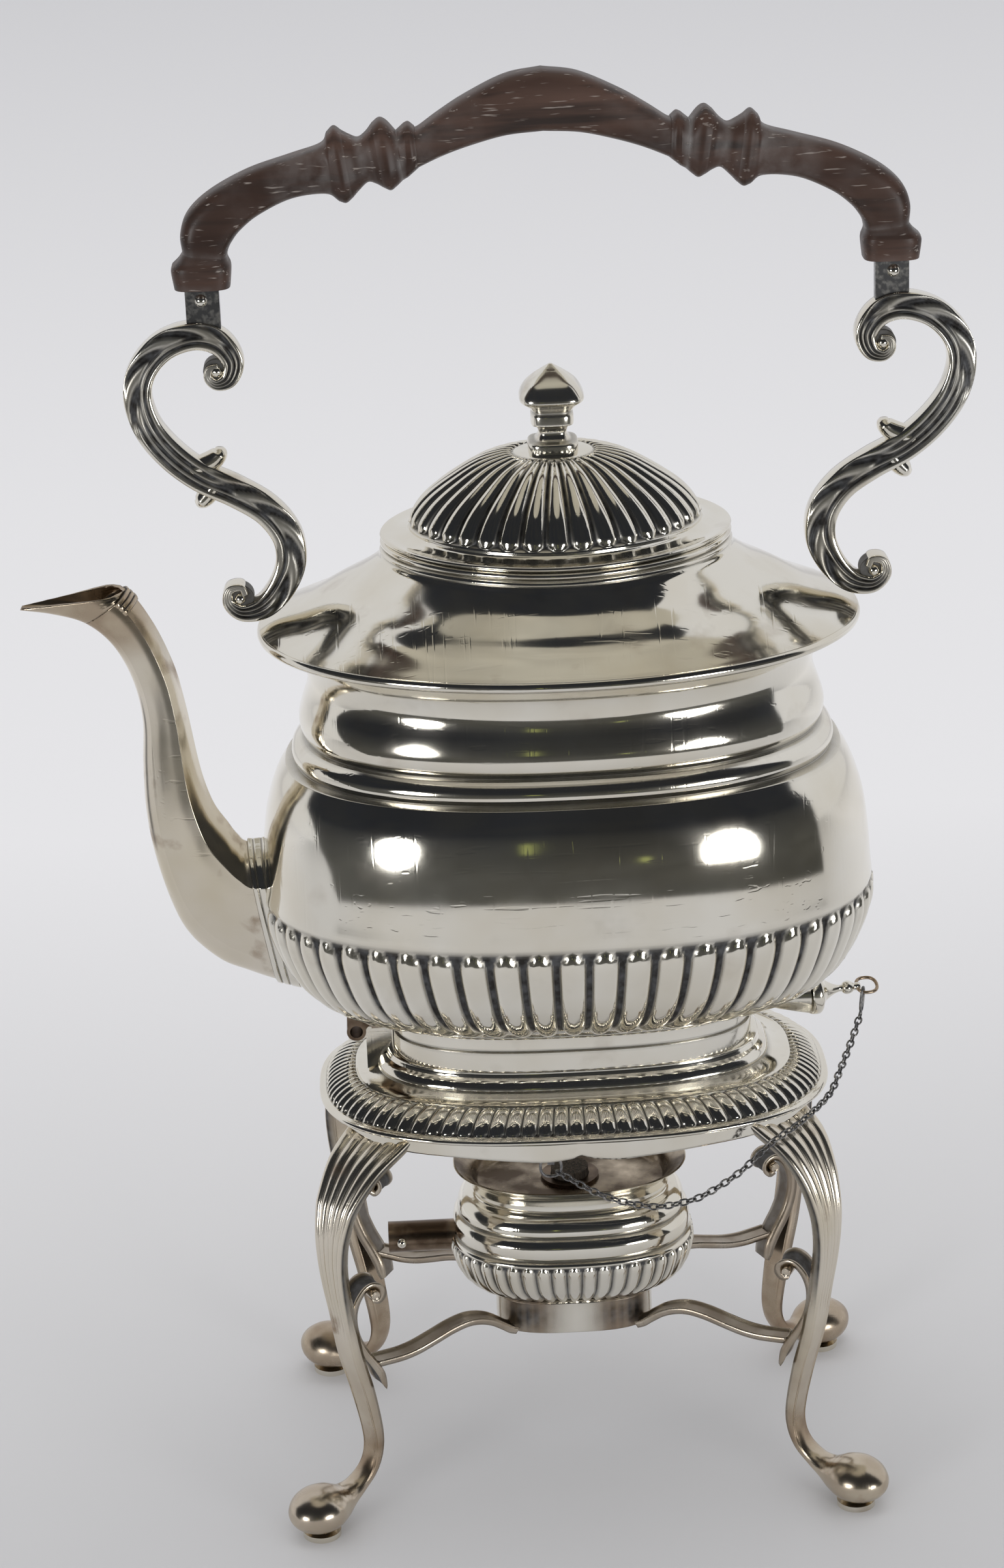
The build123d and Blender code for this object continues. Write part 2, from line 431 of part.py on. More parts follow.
def make_spout(body_envelope):
    """Hollow swan-necked spout, ending in an open trough; also returns its uncut outer form."""
    outer = Solid.make_loft(spout_sections(0.0), ruled=True)
    inner_wires = spout_sections(-1.1)
    tip = inner_wires[-1].moved(Pos(-4, 0, 0.4))
    inner = Solid.make_loft(inner_wires + [tip], ruled=True)
    (x0, z0), (x1, z1) = LIP_FROM, LIP_TO
    cut_line = [(x0 + 3, z0 + 1.6), (x0, z0), (x1 - 4, z1 - 0.6)]
    above = xz_prism(cut_line + [(x1 - 4, z1 + 20), (x0 + 3, z0 + 20)], 20)
    return outer - inner - above - body_envelope, outer


def make_spout_socket(spout_form, body_envelope):
    """Raised moulding where the spout is soldered to the body."""
    fat = Solid.make_loft(spout_sections(SOCKET_PROUD)[:3], ruled=True)
    return fat - body_envelope - spout_form


def make_strainer():
    """Small drilled plate in the mouth of the spout that holds the tea leaves back."""
    plate = Pos(STRAINER_X, 0, STRAINER_Z) * Rot(0, 90, 0) * Cylinder(STRAINER_R, WALL)
    row_pitch = 2.9
    for row, count in enumerate((1, 6, 12)):
        for i in range(count):
            turn = 2 * pi * i / count
            y, z = row_pitch * row * cos(turn), STRAINER_Z + row_pitch * row * sin(turn)
            plate = plate - Pos(STRAINER_X, y, z) * Rot(0, 90, 0) * Cylinder(0.8, 4)
    return plate


def make_bracket(side, shoulder_form):
    """S-shaped silver bracket with a rolled eye at each end and two leaf tips in its middle."""
    plane = Plane(origin=(0, 0, 0), x_dir=(side, 0, 0), z_dir=(0, -side, 0))
    bracket = ribbon(BRACKET, plane, BRACKET_HALF)
    for centre in (UPPER_EYE, LOWER_EYE):
        bracket = bracket + eye(plane, centre, EYE_R, BRACKET_HALF + 0.4)
    tips = [[(side * 80.0, 255.0), (side * 74.9, 260.2), (side * 74.0, 252.0)],
            [(side * 76.0, 252.0), (side * 80.0, 246.4), (side * 83.5, 254.6)]]
    for tip in tips:
        bracket = bracket + xz_prism(tip, BRACKET_HALF - 0.4)
    return bracket - shoulder_form


def make_tang(side):
    """Flat plate standing on the bracket, its top let into the handle."""
    outline = [(73.4, 287.2), (81.0, 287.2), (81.0, 297.4), (79.8, 297.6), (79.8, 303.4), (74.6, 303.4),
               (74.6, 297.6), (73.4, 297.4)]
    return xz_prism([(side * x, z) for x, z in outline], TANG_HALF)


def make_handle(tangs):
    """Carved wooden grip: arms, turned beads and a raised middle, drilled for the two tangs."""
    upper = HANDLE_TOP + HANDLE_BEADS + HANDLE_ARM + HANDLE_BLOCK
    lower = HANDLE_UNDER + HANDLE_LOW_BEADS + HANDLE_ARCH
    mirrored_lower = [(-x, z) for x, z in lower[:-1]][::-1]
    mirrored_upper = [(-x, z) for x, z in upper[1:]][::-1]
    outline = upper + lower + mirrored_lower + mirrored_upper
    core = xz_prism(outline, HANDLE_HALF)
    handle = chamfer([e for e in core.edges() if abs(abs(e.center().Y) - HANDLE_HALF) < 0.01], 1.2)
    for tang in tangs:
        handle = handle - tang
    return handle


def make_handle_rivets():
    """Domed rivet heads on both faces of each tang."""
    x, z, radius, height = TANG_RIVET
    heads = []
    for side_x in (-1, 1):
        for side_y in (-1, 1):
            heads.append(rivet(side_x * x, side_y * TANG_HALF, z, radius, height, side_y))
    return Compound(children=[Solid(head.solid().wrapped) for head in heads])


# Lid

def make_lid():
    """Flat flange with a domed middle, open underneath."""
    dome = oval_solid(DOME) - oval_solid([(a - WALL, b - WALL, n, z - 1.1) for a, b, n, z in DOME])
    low = COLLAR_TOP + GAP
    flange = prism(40.2, 33.0, 1.9, low, low + 1.0) - prism(32.6, 26.1, 1.9, low - 1, low + 2)
    return dome + flange


def make_lid_bezel():
    """Upright rim under the flange that keeps the lid in the collar."""
    top = COLLAR_TOP + GAP
    return prism(38.2, 31.0, 1.9, 229.4, top) - prism(37.2, 30.0, 1.9, 229, top + 1)


def make_finial():
    """Finial, a rounded square in plan: plinth, slim stem, collar, flared head and soft point."""
    return oval_solid([(half, half, FINIAL_N, z) for half, z in FINIAL])


def make_finial_nut():
    """Nut under the dome that holds the finial."""
    return Pos(0, 0, 254.3) * extrude(RegularPolygon(4.2, 6), amount=1.1)


# Burner

def burner_envelope():
    """The lamp's outside as one closed solid."""
    return oval_solid(with_n(BURNER, 2.5), 0.0, BURNER_X)


def make_reservoir():
    """Sheet spirit lamp with two convex bands; hollow, with a hole for the wick tube."""
    cavity = [(16.4, 10.1, 39.2), (16.4, 10.1, 45.6), (23.2, 16.0, 48.4), (28.0, 20.4, 54.4),
              (28.0, 20.4, 57.4), (26.6, 19.2, 60.4), (25.8, 18.6, 66.2), (23.4, 16.4, 69.6)]
    shell = burner_envelope() - oval_solid(with_n(cavity, 2.5), 0.0, BURNER_X)
    return shell - Pos(BURNER_X, 0, 70) * Cylinder(6.3, 6)


def make_handle_socket(envelope):
    """Round open tube on the burner's side that once held its wooden grip."""
    inner_end = -30.2
    length = inner_end - SOCKET_MOUTH_X
    middle = (inner_end + SOCKET_MOUTH_X) / 2
    tube = Pos(middle, 0, SOCKET_Z) * Rot(0, 90, 0) * Cylinder(SOCKET_R, length)
    tube = tube - Pos(middle - 2, 0, SOCKET_Z) * Rot(0, 90, 0) * Cylinder(SOCKET_BORE, length + 3.6)
    wall = Pos(-32, 0, SOCKET_Z) * Rot(0, 90, 0) * Cylinder(SOCKET_R - 0.4, 1.0)
    return tube + wall - envelope


def make_funnel():
    """Flared collar that shields the flame, on a thin plate that closes the lamp."""
    flare = oval_solid(with_n(FUNNEL, 2.3), 0.0, BURNER_X)
    inner = oval_solid([(a - 0.9, b - 0.9, 2.3, z + 0.9) for a, b, z in FUNNEL], 0.0, BURNER_X)
    return flare - inner - Pos(BURNER_X, 0, 72) * Cylinder(5.6, 4)


def make_wick_holder():
    """Tube that carries the wick down into the lamp, with a flat collar on top."""
    tube = Pos(BURNER_X, 0, 66.7) * Cylinder(5.5, 12.0) + Pos(BURNER_X, 0, 72.6) * Cylinder(7.0, 0.8)
    return tube - Pos(BURNER_X, 0, 67) * Cylinder(4.7, 16)


def make_lock_pin():
    """Turned pin: plain shank, broad collar, trumpet, ball and a drilled tip."""
    shank = [(-2.4, 0), (-2.4, 1.2), (-1.6, PIN_R), (17.0, PIN_R)]
    collar = [(17.0, 4.6), (17.5, 5.5), (19.2, 5.5), (19.9, 5.0), (20.6, 3.6)]
    trumpet = [(22.0, 2.1), (23.2, 1.35), (24.7, 0.8), (25.7, 0.8)]
    ball = [(26.0, 1.2), (26.6, 1.55), (27.3, 1.6), (28.1, 1.2), (28.5, 0.9)]
    tip = [(30.2, 0.9), (30.2, 0)]
    pin = revolve(make_face(Polyline(*shank, *collar, *trumpet, *ball, *tip, close=True)), axis=Axis.X)
    hole = Pos(PIN_RING_AT - PIN_RING_R, 0, 0) * Rot(90 - RING_TILT, 0, 0) * Cylinder(0.6, 6)
    return pin_place() * (pin - hole)


def make_pin_ring():
    """Wire ring through the tip of the lock pin; the chain's last link hangs in it."""
    ring = Rot(-RING_TILT, 0, 0) * Torus(PIN_RING_R, PIN_RING_WIRE)
    return pin_place() * Pos(PIN_RING_AT, 0, 0) * ring


def build():
    """All sub-parts by name."""
    parts = {}
    stand_envelope = oval_solid(with_n(STAND_TOP, STAND_N))
    body_envelope = oval_solid(BODY)
    foot_envelope = prism(43.4, 22.5, 2.7, SEAT_Z - 1, BODY_Z)
    shoulder_form = oval_solid(SHOULDER)
    ring_form = prism(RING_A, RING_B, RING_N, RING_Z0 - 3, RING_Z1 + 3, BURNER_X)
    legs = {name: make_leg(*sides, LEAN.get(name, 0)) for name, sides in CORNERS.items()}
    parts["stand_top"] = make_stand_top()
    parts["stand_apron"] = make_apron(legs.values())
    for name, sides in CORNERS.items():
        parts["leg_" + name] = legs[name]
        parts["brace_" + name] = make_brace(*sides, LEAN.get(name, 0), legs[name], ring_form)
    parts["foot_pads"] = make_foot_pads()
    parts["burner_ring"] = make_burner_ring()
    parts["hinge_cradle"] = make_hinge_cradle(stand_envelope)
    parts["pin_catch"] = make_pin_catch()
    parts["chain_eye"] = make_chain_eye(parts["stand_apron"])
    parts["chain_ring"] = make_chain_ring()
    parts["chain"] = make_chain()

    spout, spout_form = make_spout(body_envelope)
    spout_hole = Pos(STRAINER_X, 0, STRAINER_Z) * Rot(0, 90, 0) * Cylinder(STRAINER_R + 0.2, 13)
    parts["kettle_body"] = make_body(spout_hole)
    parts["kettle_shoulder"] = make_shoulder()
    parts["kettle_foot"] = make_kettle_foot()
    parts["hinge_tube"] = make_hinge_tube(body_envelope)
    parts["pin_socket"] = make_pin_socket(body_envelope, foot_envelope)
    parts["spout"] = spout
    parts["spout_socket"] = make_spout_socket(spout_form, body_envelope)
    parts["strainer"] = make_strainer()
    tangs = [make_tang(side) for side in (-1, 1)]
    for side, name, tang in zip((-1, 1), ("left", "right"), tangs):
        bracket = make_bracket(side, shoulder_form)
        parts["bracket_" + name] = bracket
        parts["tang_" + name] = tang - bracket
    parts["handle"] = make_handle(tangs)
    parts["handle_rivets"] = make_handle_rivets()

    parts["lid"] = make_lid()
    parts["lid_bezel"] = make_lid_bezel()
    parts["finial"] = make_finial()
    parts["finial_nut"] = make_finial_nut()

    parts["burner_reservoir"] = make_reservoir()
    parts["burner_socket"] = make_handle_socket(burner_envelope())
    tube_form = Pos(SOCKET_MOUTH_X + 8, 0, SOCKET_Z) * Rot(0, 90, 0) * Cylinder(SOCKET_R, 20)
    rivet_x = SOCKET_MOUTH_X + 3.2
    parts["burner_rivet"] = rivet(rivet_x, 0.4 - SOCKET_R, SOCKET_Z, 1.3, 1.3, -1) - tube_form
    parts["burner_funnel"] = make_funnel()
    parts["wick_holder"] = make_wick_holder()
    parts["wick"] = Pos(BURNER_X, 0, 62.5) * Cylinder(4.55, 25)
    parts["lock_pin"] = make_lock_pin()
    parts["pin_ring"] = make_pin_ring()
    return parts


os.makedirs("parts", exist_ok=True)
for node, shape in build().items():
    export_step(shape, "parts/" + node + ".step")
    box = shape.bounding_box()
    print(node, "%.1f x %.1f x %.1f" % (box.size.X, box.size.Y, box.size.Z))
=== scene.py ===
# %% [markdown]
# # A silver spirit kettle on its burner stand
# The real object is raised and soldered silver sheet with a carved wooden grip. The kettle tilts on a stand
# with four cabriole legs, over a spirit lamp. Every piece below is a surface worked out with numpy in
# millimetres, in the same frame as the CAD model: X right, Y away from the viewer, Z up, table at 0.

# %% Load the frame
import bpy
import numpy as np
from mathutils import Matrix


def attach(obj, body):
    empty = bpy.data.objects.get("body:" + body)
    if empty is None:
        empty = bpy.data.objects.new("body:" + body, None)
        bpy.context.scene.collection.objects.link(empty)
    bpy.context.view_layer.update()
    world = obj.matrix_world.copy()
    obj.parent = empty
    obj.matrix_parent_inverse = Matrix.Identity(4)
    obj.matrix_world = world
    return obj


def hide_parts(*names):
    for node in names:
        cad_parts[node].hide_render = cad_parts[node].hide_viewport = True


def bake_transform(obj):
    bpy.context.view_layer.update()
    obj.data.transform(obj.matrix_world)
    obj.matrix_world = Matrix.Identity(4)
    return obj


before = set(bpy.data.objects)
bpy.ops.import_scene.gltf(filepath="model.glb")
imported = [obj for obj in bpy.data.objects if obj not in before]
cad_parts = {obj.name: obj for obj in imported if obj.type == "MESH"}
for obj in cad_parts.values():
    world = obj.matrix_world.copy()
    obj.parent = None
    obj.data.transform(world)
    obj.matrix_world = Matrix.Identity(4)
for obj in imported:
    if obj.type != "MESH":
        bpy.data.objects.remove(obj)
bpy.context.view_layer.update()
MM = 0.001

# %% [markdown]
# ## The camera
# The photograph looks down on the kettle by 21 degrees from 0.9 m. The camera was worked out from the ovals
# and feet in the photograph, so it is set from its angles rather than aimed by hand.

# %% Camera
PHOTO_HEIGHT = 2405
FOCAL_PIXELS = 5864.5
YAW, PITCH, ROLL = np.radians([1.3085, 21.0, -2.204])
EYE_MM = (-33.63, -837.89, 497.19)
SENSOR = 36.0

forward = np.array([np.sin(YAW) * np.cos(PITCH), np.cos(YAW) * np.cos(PITCH), -np.sin(PITCH)])
level_right = np.array([np.cos(YAW), -np.sin(YAW), 0.0])
level_up = np.cross(level_right, forward)
camera_right = np.cos(ROLL) * level_right + np.sin(ROLL) * level_up
camera_up = np.cos(ROLL) * level_up - np.sin(ROLL) * level_right
camera_data = bpy.data.cameras.new("photo_camera")
camera_data.sensor_width = SENSOR
camera_data.lens = FOCAL_PIXELS / PHOTO_HEIGHT * SENSOR
camera_data.clip_end = 50.0
camera = bpy.data.objects.new("photo_camera", camera_data)
bpy.context.scene.collection.objects.link(camera)
turn = Matrix([camera_right.tolist(), camera_up.tolist(), (-forward).tolist()]).transposed()
camera.matrix_world = Matrix.Translation([v * MM for v in EYE_MM]) @ turn.to_4x4()
bpy.context.scene.camera = camera
bpy.context.scene.view_settings.view_transform = "Standard"
print("lens", round(camera_data.lens, 2), "mm")

# %% [markdown]
# ## Curves and surfaces
# Silversmiths' shapes are profiles: a line of sizes from bottom to top. Here a profile is rows of numbers, a
# smooth curve is put through them, and each row becomes an oval or a section of a strap. Corners stay crisp
# because each smooth run ends with a short step.

# %% Smooth curves
def smooth(keys, steps=6):
    """Cubic through every key; its slope at a key is half the step between the key's two neighbours."""
    keys = np.array(keys, float)
    padded = np.vstack([2 * keys[0] - keys[1], keys, 2 * keys[-1] - keys[-2]])
    t = np.linspace(0, 1, steps, endpoint=False)[None, :, None]
    a, b, c, d = padded[:-3, None], padded[1:-2, None], padded[2:-1, None], padded[3:, None]
    curve = 2 * b + (c - a) * t + (2 * a - 5 * b + 4 * c - d) * t ** 2
    curve = (curve + (3 * b - a - 3 * c + d) * t ** 3) / 2
    return np.vstack([curve.reshape(-1, keys.shape[1]), keys[-1:]])


def runs(*parts, steps=6, crisp=0.12):
    """Smooth runs end to end; beside each corner a row at a small share of the next step keeps it crisp."""
    rows = []
    for keys in parts:
        curve = smooth(keys, steps) if len(keys) > 2 else np.array(keys, float)
        first = curve[0] + (curve[1] - curve[0]) * crisp
        last = curve[-1] + (curve[-2] - curve[-1]) * crisp
        curve = np.vstack([curve[:1], first, curve[1:-1], last, curve[-1:]])
        rows.append(curve if not rows else curve[1:])
    return np.vstack(rows)


def length_along(points):
    """Distance from the first row, added up row by row."""
    return np.concatenate([[0], np.cumsum(np.linalg.norm(np.diff(points, axis=0), axis=1))])


def ease(low, high, value):
    """0 below low, 1 above high, and 3t^2 - 2t^3 between."""
    t = np.clip((value - low) / (high - low), 0, 1)
    return t * t * (3 - 2 * t)


def seam_line(value, at, wide):
    """A soft line, 1 at one value and gone beside it: exp(-((value - at) / wide)^2)."""
    return np.exp(-((value - at) / wide) ** 2)


print("smooth run of 4 keys has", len(smooth([[0, 0], [1, 1], [2, 1], [3, 0]])), "rows")

# %% [markdown]
# The kettle is neither round nor a true ellipse: its plan is a superellipse, a little squarer than an
# ellipse. So each level of a body is an oval with its own half sizes and roundness. Straps and wires are one
# section carried along a path, and turned parts are a radius turned round an axis.

# %% Ovals, straps and turned pieces
def turns(columns):
    """Even turns of the polar parameter, one per column."""
    return np.linspace(0, 2 * np.pi, columns, endpoint=False)


def oval_rows(levels, phi, x0=0.0):
    """Row by row the curve |x/a|^n + |y/b|^n = 1, from levels (a, b, n, z).

    x = a r cos phi, y = b r sin phi, with r = (|cos phi|^n + |sin phi|^n)^(-1/n)."""
    a, b, n, z = [np.asarray(levels, float)[:, k:k + 1] for k in range(4)]
    c, s = np.cos(phi)[None], np.sin(phi)[None]
    reach = (np.abs(c) ** n + np.abs(s) ** n) ** (-1 / n)
    return np.stack([x0 + a * reach * c, b * reach * s, z + 0 * c], -1)


def outward(points, loop=False):
    """Unit normals of a grid with closed columns: the cross product of the steps across and along."""
    across = np.roll(points, -1, 1) - np.roll(points, 1, 1)
    along = np.roll(points, -1, 0) - np.roll(points, 1, 0) if loop else np.gradient(points, axis=0)
    normal = np.cross(across, along)
    return normal / (np.linalg.norm(normal, axis=-1, keepdims=True) + 1e-9)


def carried(origin, u_dir, v_dir, path, side, lift):
    """A section carried along a path (u, v) in a plane.

    Each point is path + side (u_dir x v_dir) + lift left, where left is the path's step turned a quarter."""
    u_dir, v_dir = np.array(u_dir, float), np.array(v_dir, float)
    step = np.gradient(path, axis=0)
    step = step / np.linalg.norm(step, axis=1, keepdims=True)
    left = -step[:, 1:2] * u_dir + step[:, 0:1] * v_dir
    centre = np.array(origin, float) + path[:, 0:1] * u_dir + path[:, 1:2] * v_dir
    return centre[:, None] + side[..., None] * np.cross(u_dir, v_dir) + lift[..., None] * left[:, None]


def turned(profile, origin, axis, columns=48):
    """A turned piece: each row (distance along the axis, radius) goes round the axis."""
    axis = np.array(axis, float) / np.linalg.norm(axis)
    first = np.cross(axis, [0.0, 0.0, 1.0] if abs(axis[2]) < 0.9 else [1.0, 0.0, 0.0])
    first = first / np.linalg.norm(first)
    second = np.cross(axis, first)
    phi = turns(columns)[None, :, None]
    along, radius = profile[:, 0][:, None, None], profile[:, 1][:, None, None]
    return np.array(origin, float) + along * axis + radius * (np.cos(phi) * first + np.sin(phi) * second)


print("normal of a round wall", outward(oval_rows([(1, 1, 2, 0), (1, 1, 2, 1)], turns(8)))[0, 0])

# %% [markdown]
# A grid of points becomes a closed shell: neighbours in the grid are joined by four-sided faces, rows that
# run round are joined to themselves, and each open end is closed with a fan round its middle. Writing faces
# by hand would do for a box, but an index array does it for any grid.

# %% From grids to pieces
def shell(points, recess=None, stain_and_shade=None, loop=False):
    """A closed grid: columns always close; rows close on themselves (loop) or end in a pole at each end."""
    rows, columns = points.shape[:2]
    index = np.arange(rows * columns).reshape(rows, columns)
    low, high = (index, np.roll(index, -1, 0)) if loop else (index[:-1], index[1:])
    quads = np.stack([low, np.roll(low, -1, 1), np.roll(high, -1, 1), high], -1).reshape(-1, 4)
    spots = points.reshape(-1, 3)
    marks = [np.zeros(rows * columns) if m is None else np.broadcast_to(m, (rows, columns)).reshape(-1)
             for m in (recess, stain_and_shade)]
    fans = np.zeros((0, 3), int)
    if not loop:
        first, last = rows * columns, rows * columns + 1
        start, end = index[0], index[-1]
        fans = np.vstack([np.stack([np.full(columns, first), np.roll(start, -1), start], -1),
                          np.stack([np.full(columns, last), end, np.roll(end, -1)], -1)])
        spots = np.vstack([spots, points[0].mean(0), points[-1].mean(0)])
        marks = [np.concatenate([m, [m[:columns].mean(), m[-columns:].mean()]]) for m in marks]
    halves = np.vstack([quads[:, :3], quads[:, [0, 2, 3]], fans])
    a, b, c = spots[halves[:, 0]], spots[halves[:, 1]], spots[halves[:, 2]]
    if np.einsum("ij,ij->", a, np.cross(b, c)) < 0:
        quads, fans = quads[:, ::-1], fans[:, ::-1]
    return spots, quads, fans, marks[0], marks[1]


def make_piece(name, shells, body, finish, nodes=()):
    """Shells joined in one mesh object with the attribute recess and one for stains and painted shade, riding on
    its body.
    """
    spots, faces, recess, stain_and_shade, base = [], [], [], [], 0
    for points, quads, fans, dark, brown in shells:
        spots.append(points)
        faces += (quads + base).tolist() + (fans + base).tolist()
        recess.append(dark)
        stain_and_shade.append(brown)
        base += len(points)
    mesh = bpy.data.meshes.new(name)
    mesh.from_pydata((np.vstack(spots) * MM).tolist(), [], faces)
    mesh.polygons.foreach_set("use_smooth", np.ones(len(mesh.polygons), bool))
    for label, values in (("recess", recess), ("stain_and_shade", stain_and_shade)):
        attribute = mesh.attributes.new(label, "FLOAT", "POINT")
        attribute.data.foreach_set("value", np.concatenate(values).astype(np.float32))
    mesh.materials.append(finish)
    mesh.update()
    piece = bpy.data.objects.new(name, mesh)
    bpy.context.scene.collection.objects.link(piece)
    if body:
        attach(piece, body)
    if nodes:
        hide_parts(*nodes)
    box = np.vstack(spots)
    print(name, base, "points", np.round(box.min(0), 1), np.round(box.max(0), 1))
    return piece


# %% [markdown]
# ## Finishes
# Old table silver is never one colour. Rubbed places are bright and a little warm. A dark oxide stays in the
# hollows, with a chalky bloom of old polish beside it, and brown tarnish spreads in soft patches. A picture
# could be wrapped round each piece, but noise on the object's own coordinates has no seams and follows every
# shape. Two attributes of the meshes say where hollows are (recess), and where heat stains and painted shade
# are: the painted shade is brown at the spout's mouth, inside the spout, and on the back legs.

# %% Small node helpers
def new_finish(name, roughness, metallic):
    """An empty material with its Principled shader, and a function that adds and wires one node."""
    material = bpy.data.materials.new(name)
    material.use_nodes = True
    tree = material.node_tree
    shader = tree.nodes["Principled BSDF"]
    shader.inputs["Roughness"].default_value = roughness
    shader.inputs["Metallic"].default_value = metallic

    def add(kind, wires=None, **settings):
        node = tree.nodes.new(kind)
        for key, value in settings.items():
            setattr(node, key, value)
        for socket, value in (wires or {}).items():
            target = node.inputs[socket]
            if isinstance(value, bpy.types.NodeSocket):
                tree.links.new(value, target)
            else:
                target.default_value = value
        return node

    return material, shader, tree.links.new, add


def patches(add, scale, low, high, detail=4.0, stretch=None, turn=(0.0, 0.0, 0.0)):
    """Cloudy pattern on the object's own coordinates: (noise - low) / (high - low), held between 0 and 1."""
    spot = add("ShaderNodeTexCoord").outputs["Object"]
    if stretch:
        place = {"Vector": spot, "Scale": stretch, "Rotation": turn}
        spot = add("ShaderNodeMapping", place).outputs["Vector"]
    cloud = add("ShaderNodeTexNoise", {"Vector": spot, "Scale": scale, "Detail": detail})
    limits = {"Value": cloud.outputs[0], "From Min": low, "From Max": high}
    return add("ShaderNodeMapRange", limits).outputs["Result"]


def mix_colour(add, amount, first, second):
    """Colour between first and second by amount."""
    node = add("ShaderNodeMix", data_type="RGBA")
    for socket, value in ((node.inputs[0], amount), (node.inputs[6], first), (node.inputs[7], second)):
        if isinstance(value, bpy.types.NodeSocket):
            socket.id_data.links.new(value, socket)
        elif isinstance(value, tuple):
            socket.default_value = (*value, 1.0)
        else:
            socket.default_value = value
    return node.outputs[2]


def arithmetic(add, operation, first, second, clamp=False):
    """One Math node."""
    node = add("ShaderNodeMath", operation=operation, use_clamp=clamp)
    for socket, value in zip(node.inputs, (first, second)):
        if isinstance(value, bpy.types.NodeSocket):
            socket.id_data.links.new(value, socket)
        else:
            socket.default_value = value
    return node.outputs[0]


# %% [markdown]
# One function makes every silver, so all pieces age alike, and each finish only says how clean, how chased
# and how tarnished it is. Fine scratches are a stretched noise in the bump, too small to be modelled.

# %% Silver
BRIGHT = (0.87, 0.84, 0.76)
YELLOWED = (0.70, 0.63, 0.49)
BROWN = (0.36, 0.27, 0.19)
WARM = (0.50, 0.40, 0.28)
OXIDE = (0.045, 0.042, 0.040)
BLOOM = (0.40, 0.42, 0.45)
BLOOM_SHARE = 0.22
# A pattern's numbers are its scale, the noise where it starts and where it is full, its detail, stretch and
# turn.
YELLOW_CLOUDS = (38.0, 0.40, 0.68)
BROWN_BLOTCHES = (85.0, 0.60, 0.74, 6.0)
BROWN_CLOUDS = (130.0, 0.25, 0.60, 5.0)
BLOOM_SPECKS = (420.0, 0.35, 0.65, 3.0)
HAZE = (60.0, 0.35, 0.75)
SCRATCHES = (900.0, 0.62, 0.70, 1.0, (1.0, 0.05, 0.05), (0.0, 0.75, 0.35))
CROSS_SCRATCHES = (700.0, 0.64, 0.72, 1.0, (0.06, 1.0, 1.0), (0.3, -0.35, 0.1))
DENTS = (26.0, 0.0, 1.0, 1.0)
WARMED_BY_STAIN_AND_SHADE, HAZE_ROUGH, STAIN_ROUGH, RECESS_ROUGH = 0.80, 0.07, 0.16, 0.42
DENT_DEPTH, SCRATCH_DEPTH, SCRATCH_STRENGTH = 0.0006, 0.00006, 0.12


def silver_finish(name, tarnish=0.5, brown=0.25, wobble=0.35, roughness=0.075, clean=BRIGHT, stained=BROWN):
    """Silver, clean or stained: clouds of tarnish, oxide in the recesses, hairline scratches."""
    material, shader, link, add = new_finish(name, roughness, 1.0)
    recess = add("ShaderNodeAttribute", attribute_name="recess").outputs["Fac"]
    stain_and_shade = add("ShaderNodeAttribute", attribute_name="stain_and_shade").outputs["Fac"]
    yellow = arithmetic(add, "MULTIPLY", patches(add, *YELLOW_CLOUDS), tarnish)
    spread = arithmetic(add, "MULTIPLY", patches(add, *BROWN_BLOTCHES), brown)
    # Heat stains and painted shade (brown at the spout's mouth and on the back legs) come in as brown clouds and
    # a warmer colour.
    heat_and_shade = arithmetic(add, "MULTIPLY", stain_and_shade, patches(add, *BROWN_CLOUDS))
    spread = arithmetic(add, "MAXIMUM", spread, heat_and_shade, True)
    fine = patches(add, *BLOOM_SPECKS)
    colour = mix_colour(add, yellow, clean, YELLOWED)
    colour = mix_colour(add, arithmetic(add, "MULTIPLY", stain_and_shade, WARMED_BY_STAIN_AND_SHADE), colour, WARM)
    colour = mix_colour(add, spread, colour, stained)
    dark = mix_colour(add, arithmetic(add, "MULTIPLY", fine, BLOOM_SHARE), OXIDE, BLOOM)
    colour = mix_colour(add, recess, colour, dark)
    link(colour, shader.inputs["Base Color"])
    hazy = arithmetic(add, "MULTIPLY", patches(add, *HAZE), HAZE_ROUGH)
    rough = arithmetic(add, "ADD", hazy, roughness)
    rough = arithmetic(add, "ADD", rough, arithmetic(add, "MULTIPLY", spread, STAIN_ROUGH))
    rough = arithmetic(add, "ADD", rough, arithmetic(add, "MULTIPLY", recess, RECESS_ROUGH), True)
    link(rough, shader.inputs["Roughness"])
    scratch = arithmetic(add, "MAXIMUM", patches(add, *SCRATCHES), patches(add, *CROSS_SCRATCHES))
    dents = {"Height": patches(add, *DENTS), "Strength": wobble, "Distance": DENT_DEPTH}
    wavy = add("ShaderNodeBump", dents).outputs["Normal"]
    lines = {"Height": scratch, "Strength": SCRATCH_STRENGTH, "Distance": SCRATCH_DEPTH, "Normal": wavy}
    cut = add("ShaderNodeBump", lines, invert=True)
    link(cut.outputs["Normal"], shader.inputs["Normal"])
    return material


SILVER = silver_finish("silver_polished")
SILVER_CHASED = silver_finish("silver_chased", tarnish=0.45, brown=0.20, wobble=0.10)
SILVER_CAST = silver_finish("silver_cast", tarnish=0.55, brown=0.45, wobble=0.10, roughness=0.12)
SILVER_WORN = silver_finish("silver_worn", 0.85, 0.90, 0.10, 0.17, clean=(0.78, 0.72, 0.62))
SILVER_FLAMED = silver_finish("silver_flamed", 0.60, 0.30, 0.10, 0.13, stained=(0.115, 0.082, 0.055))
print("silver finishes", [m.name for m in bpy.data.materials if m.name.startswith("silver")])

# %% [markdown]
# Parts near the flame and the chain have lost their polish. They are the same metal, darker and rougher.

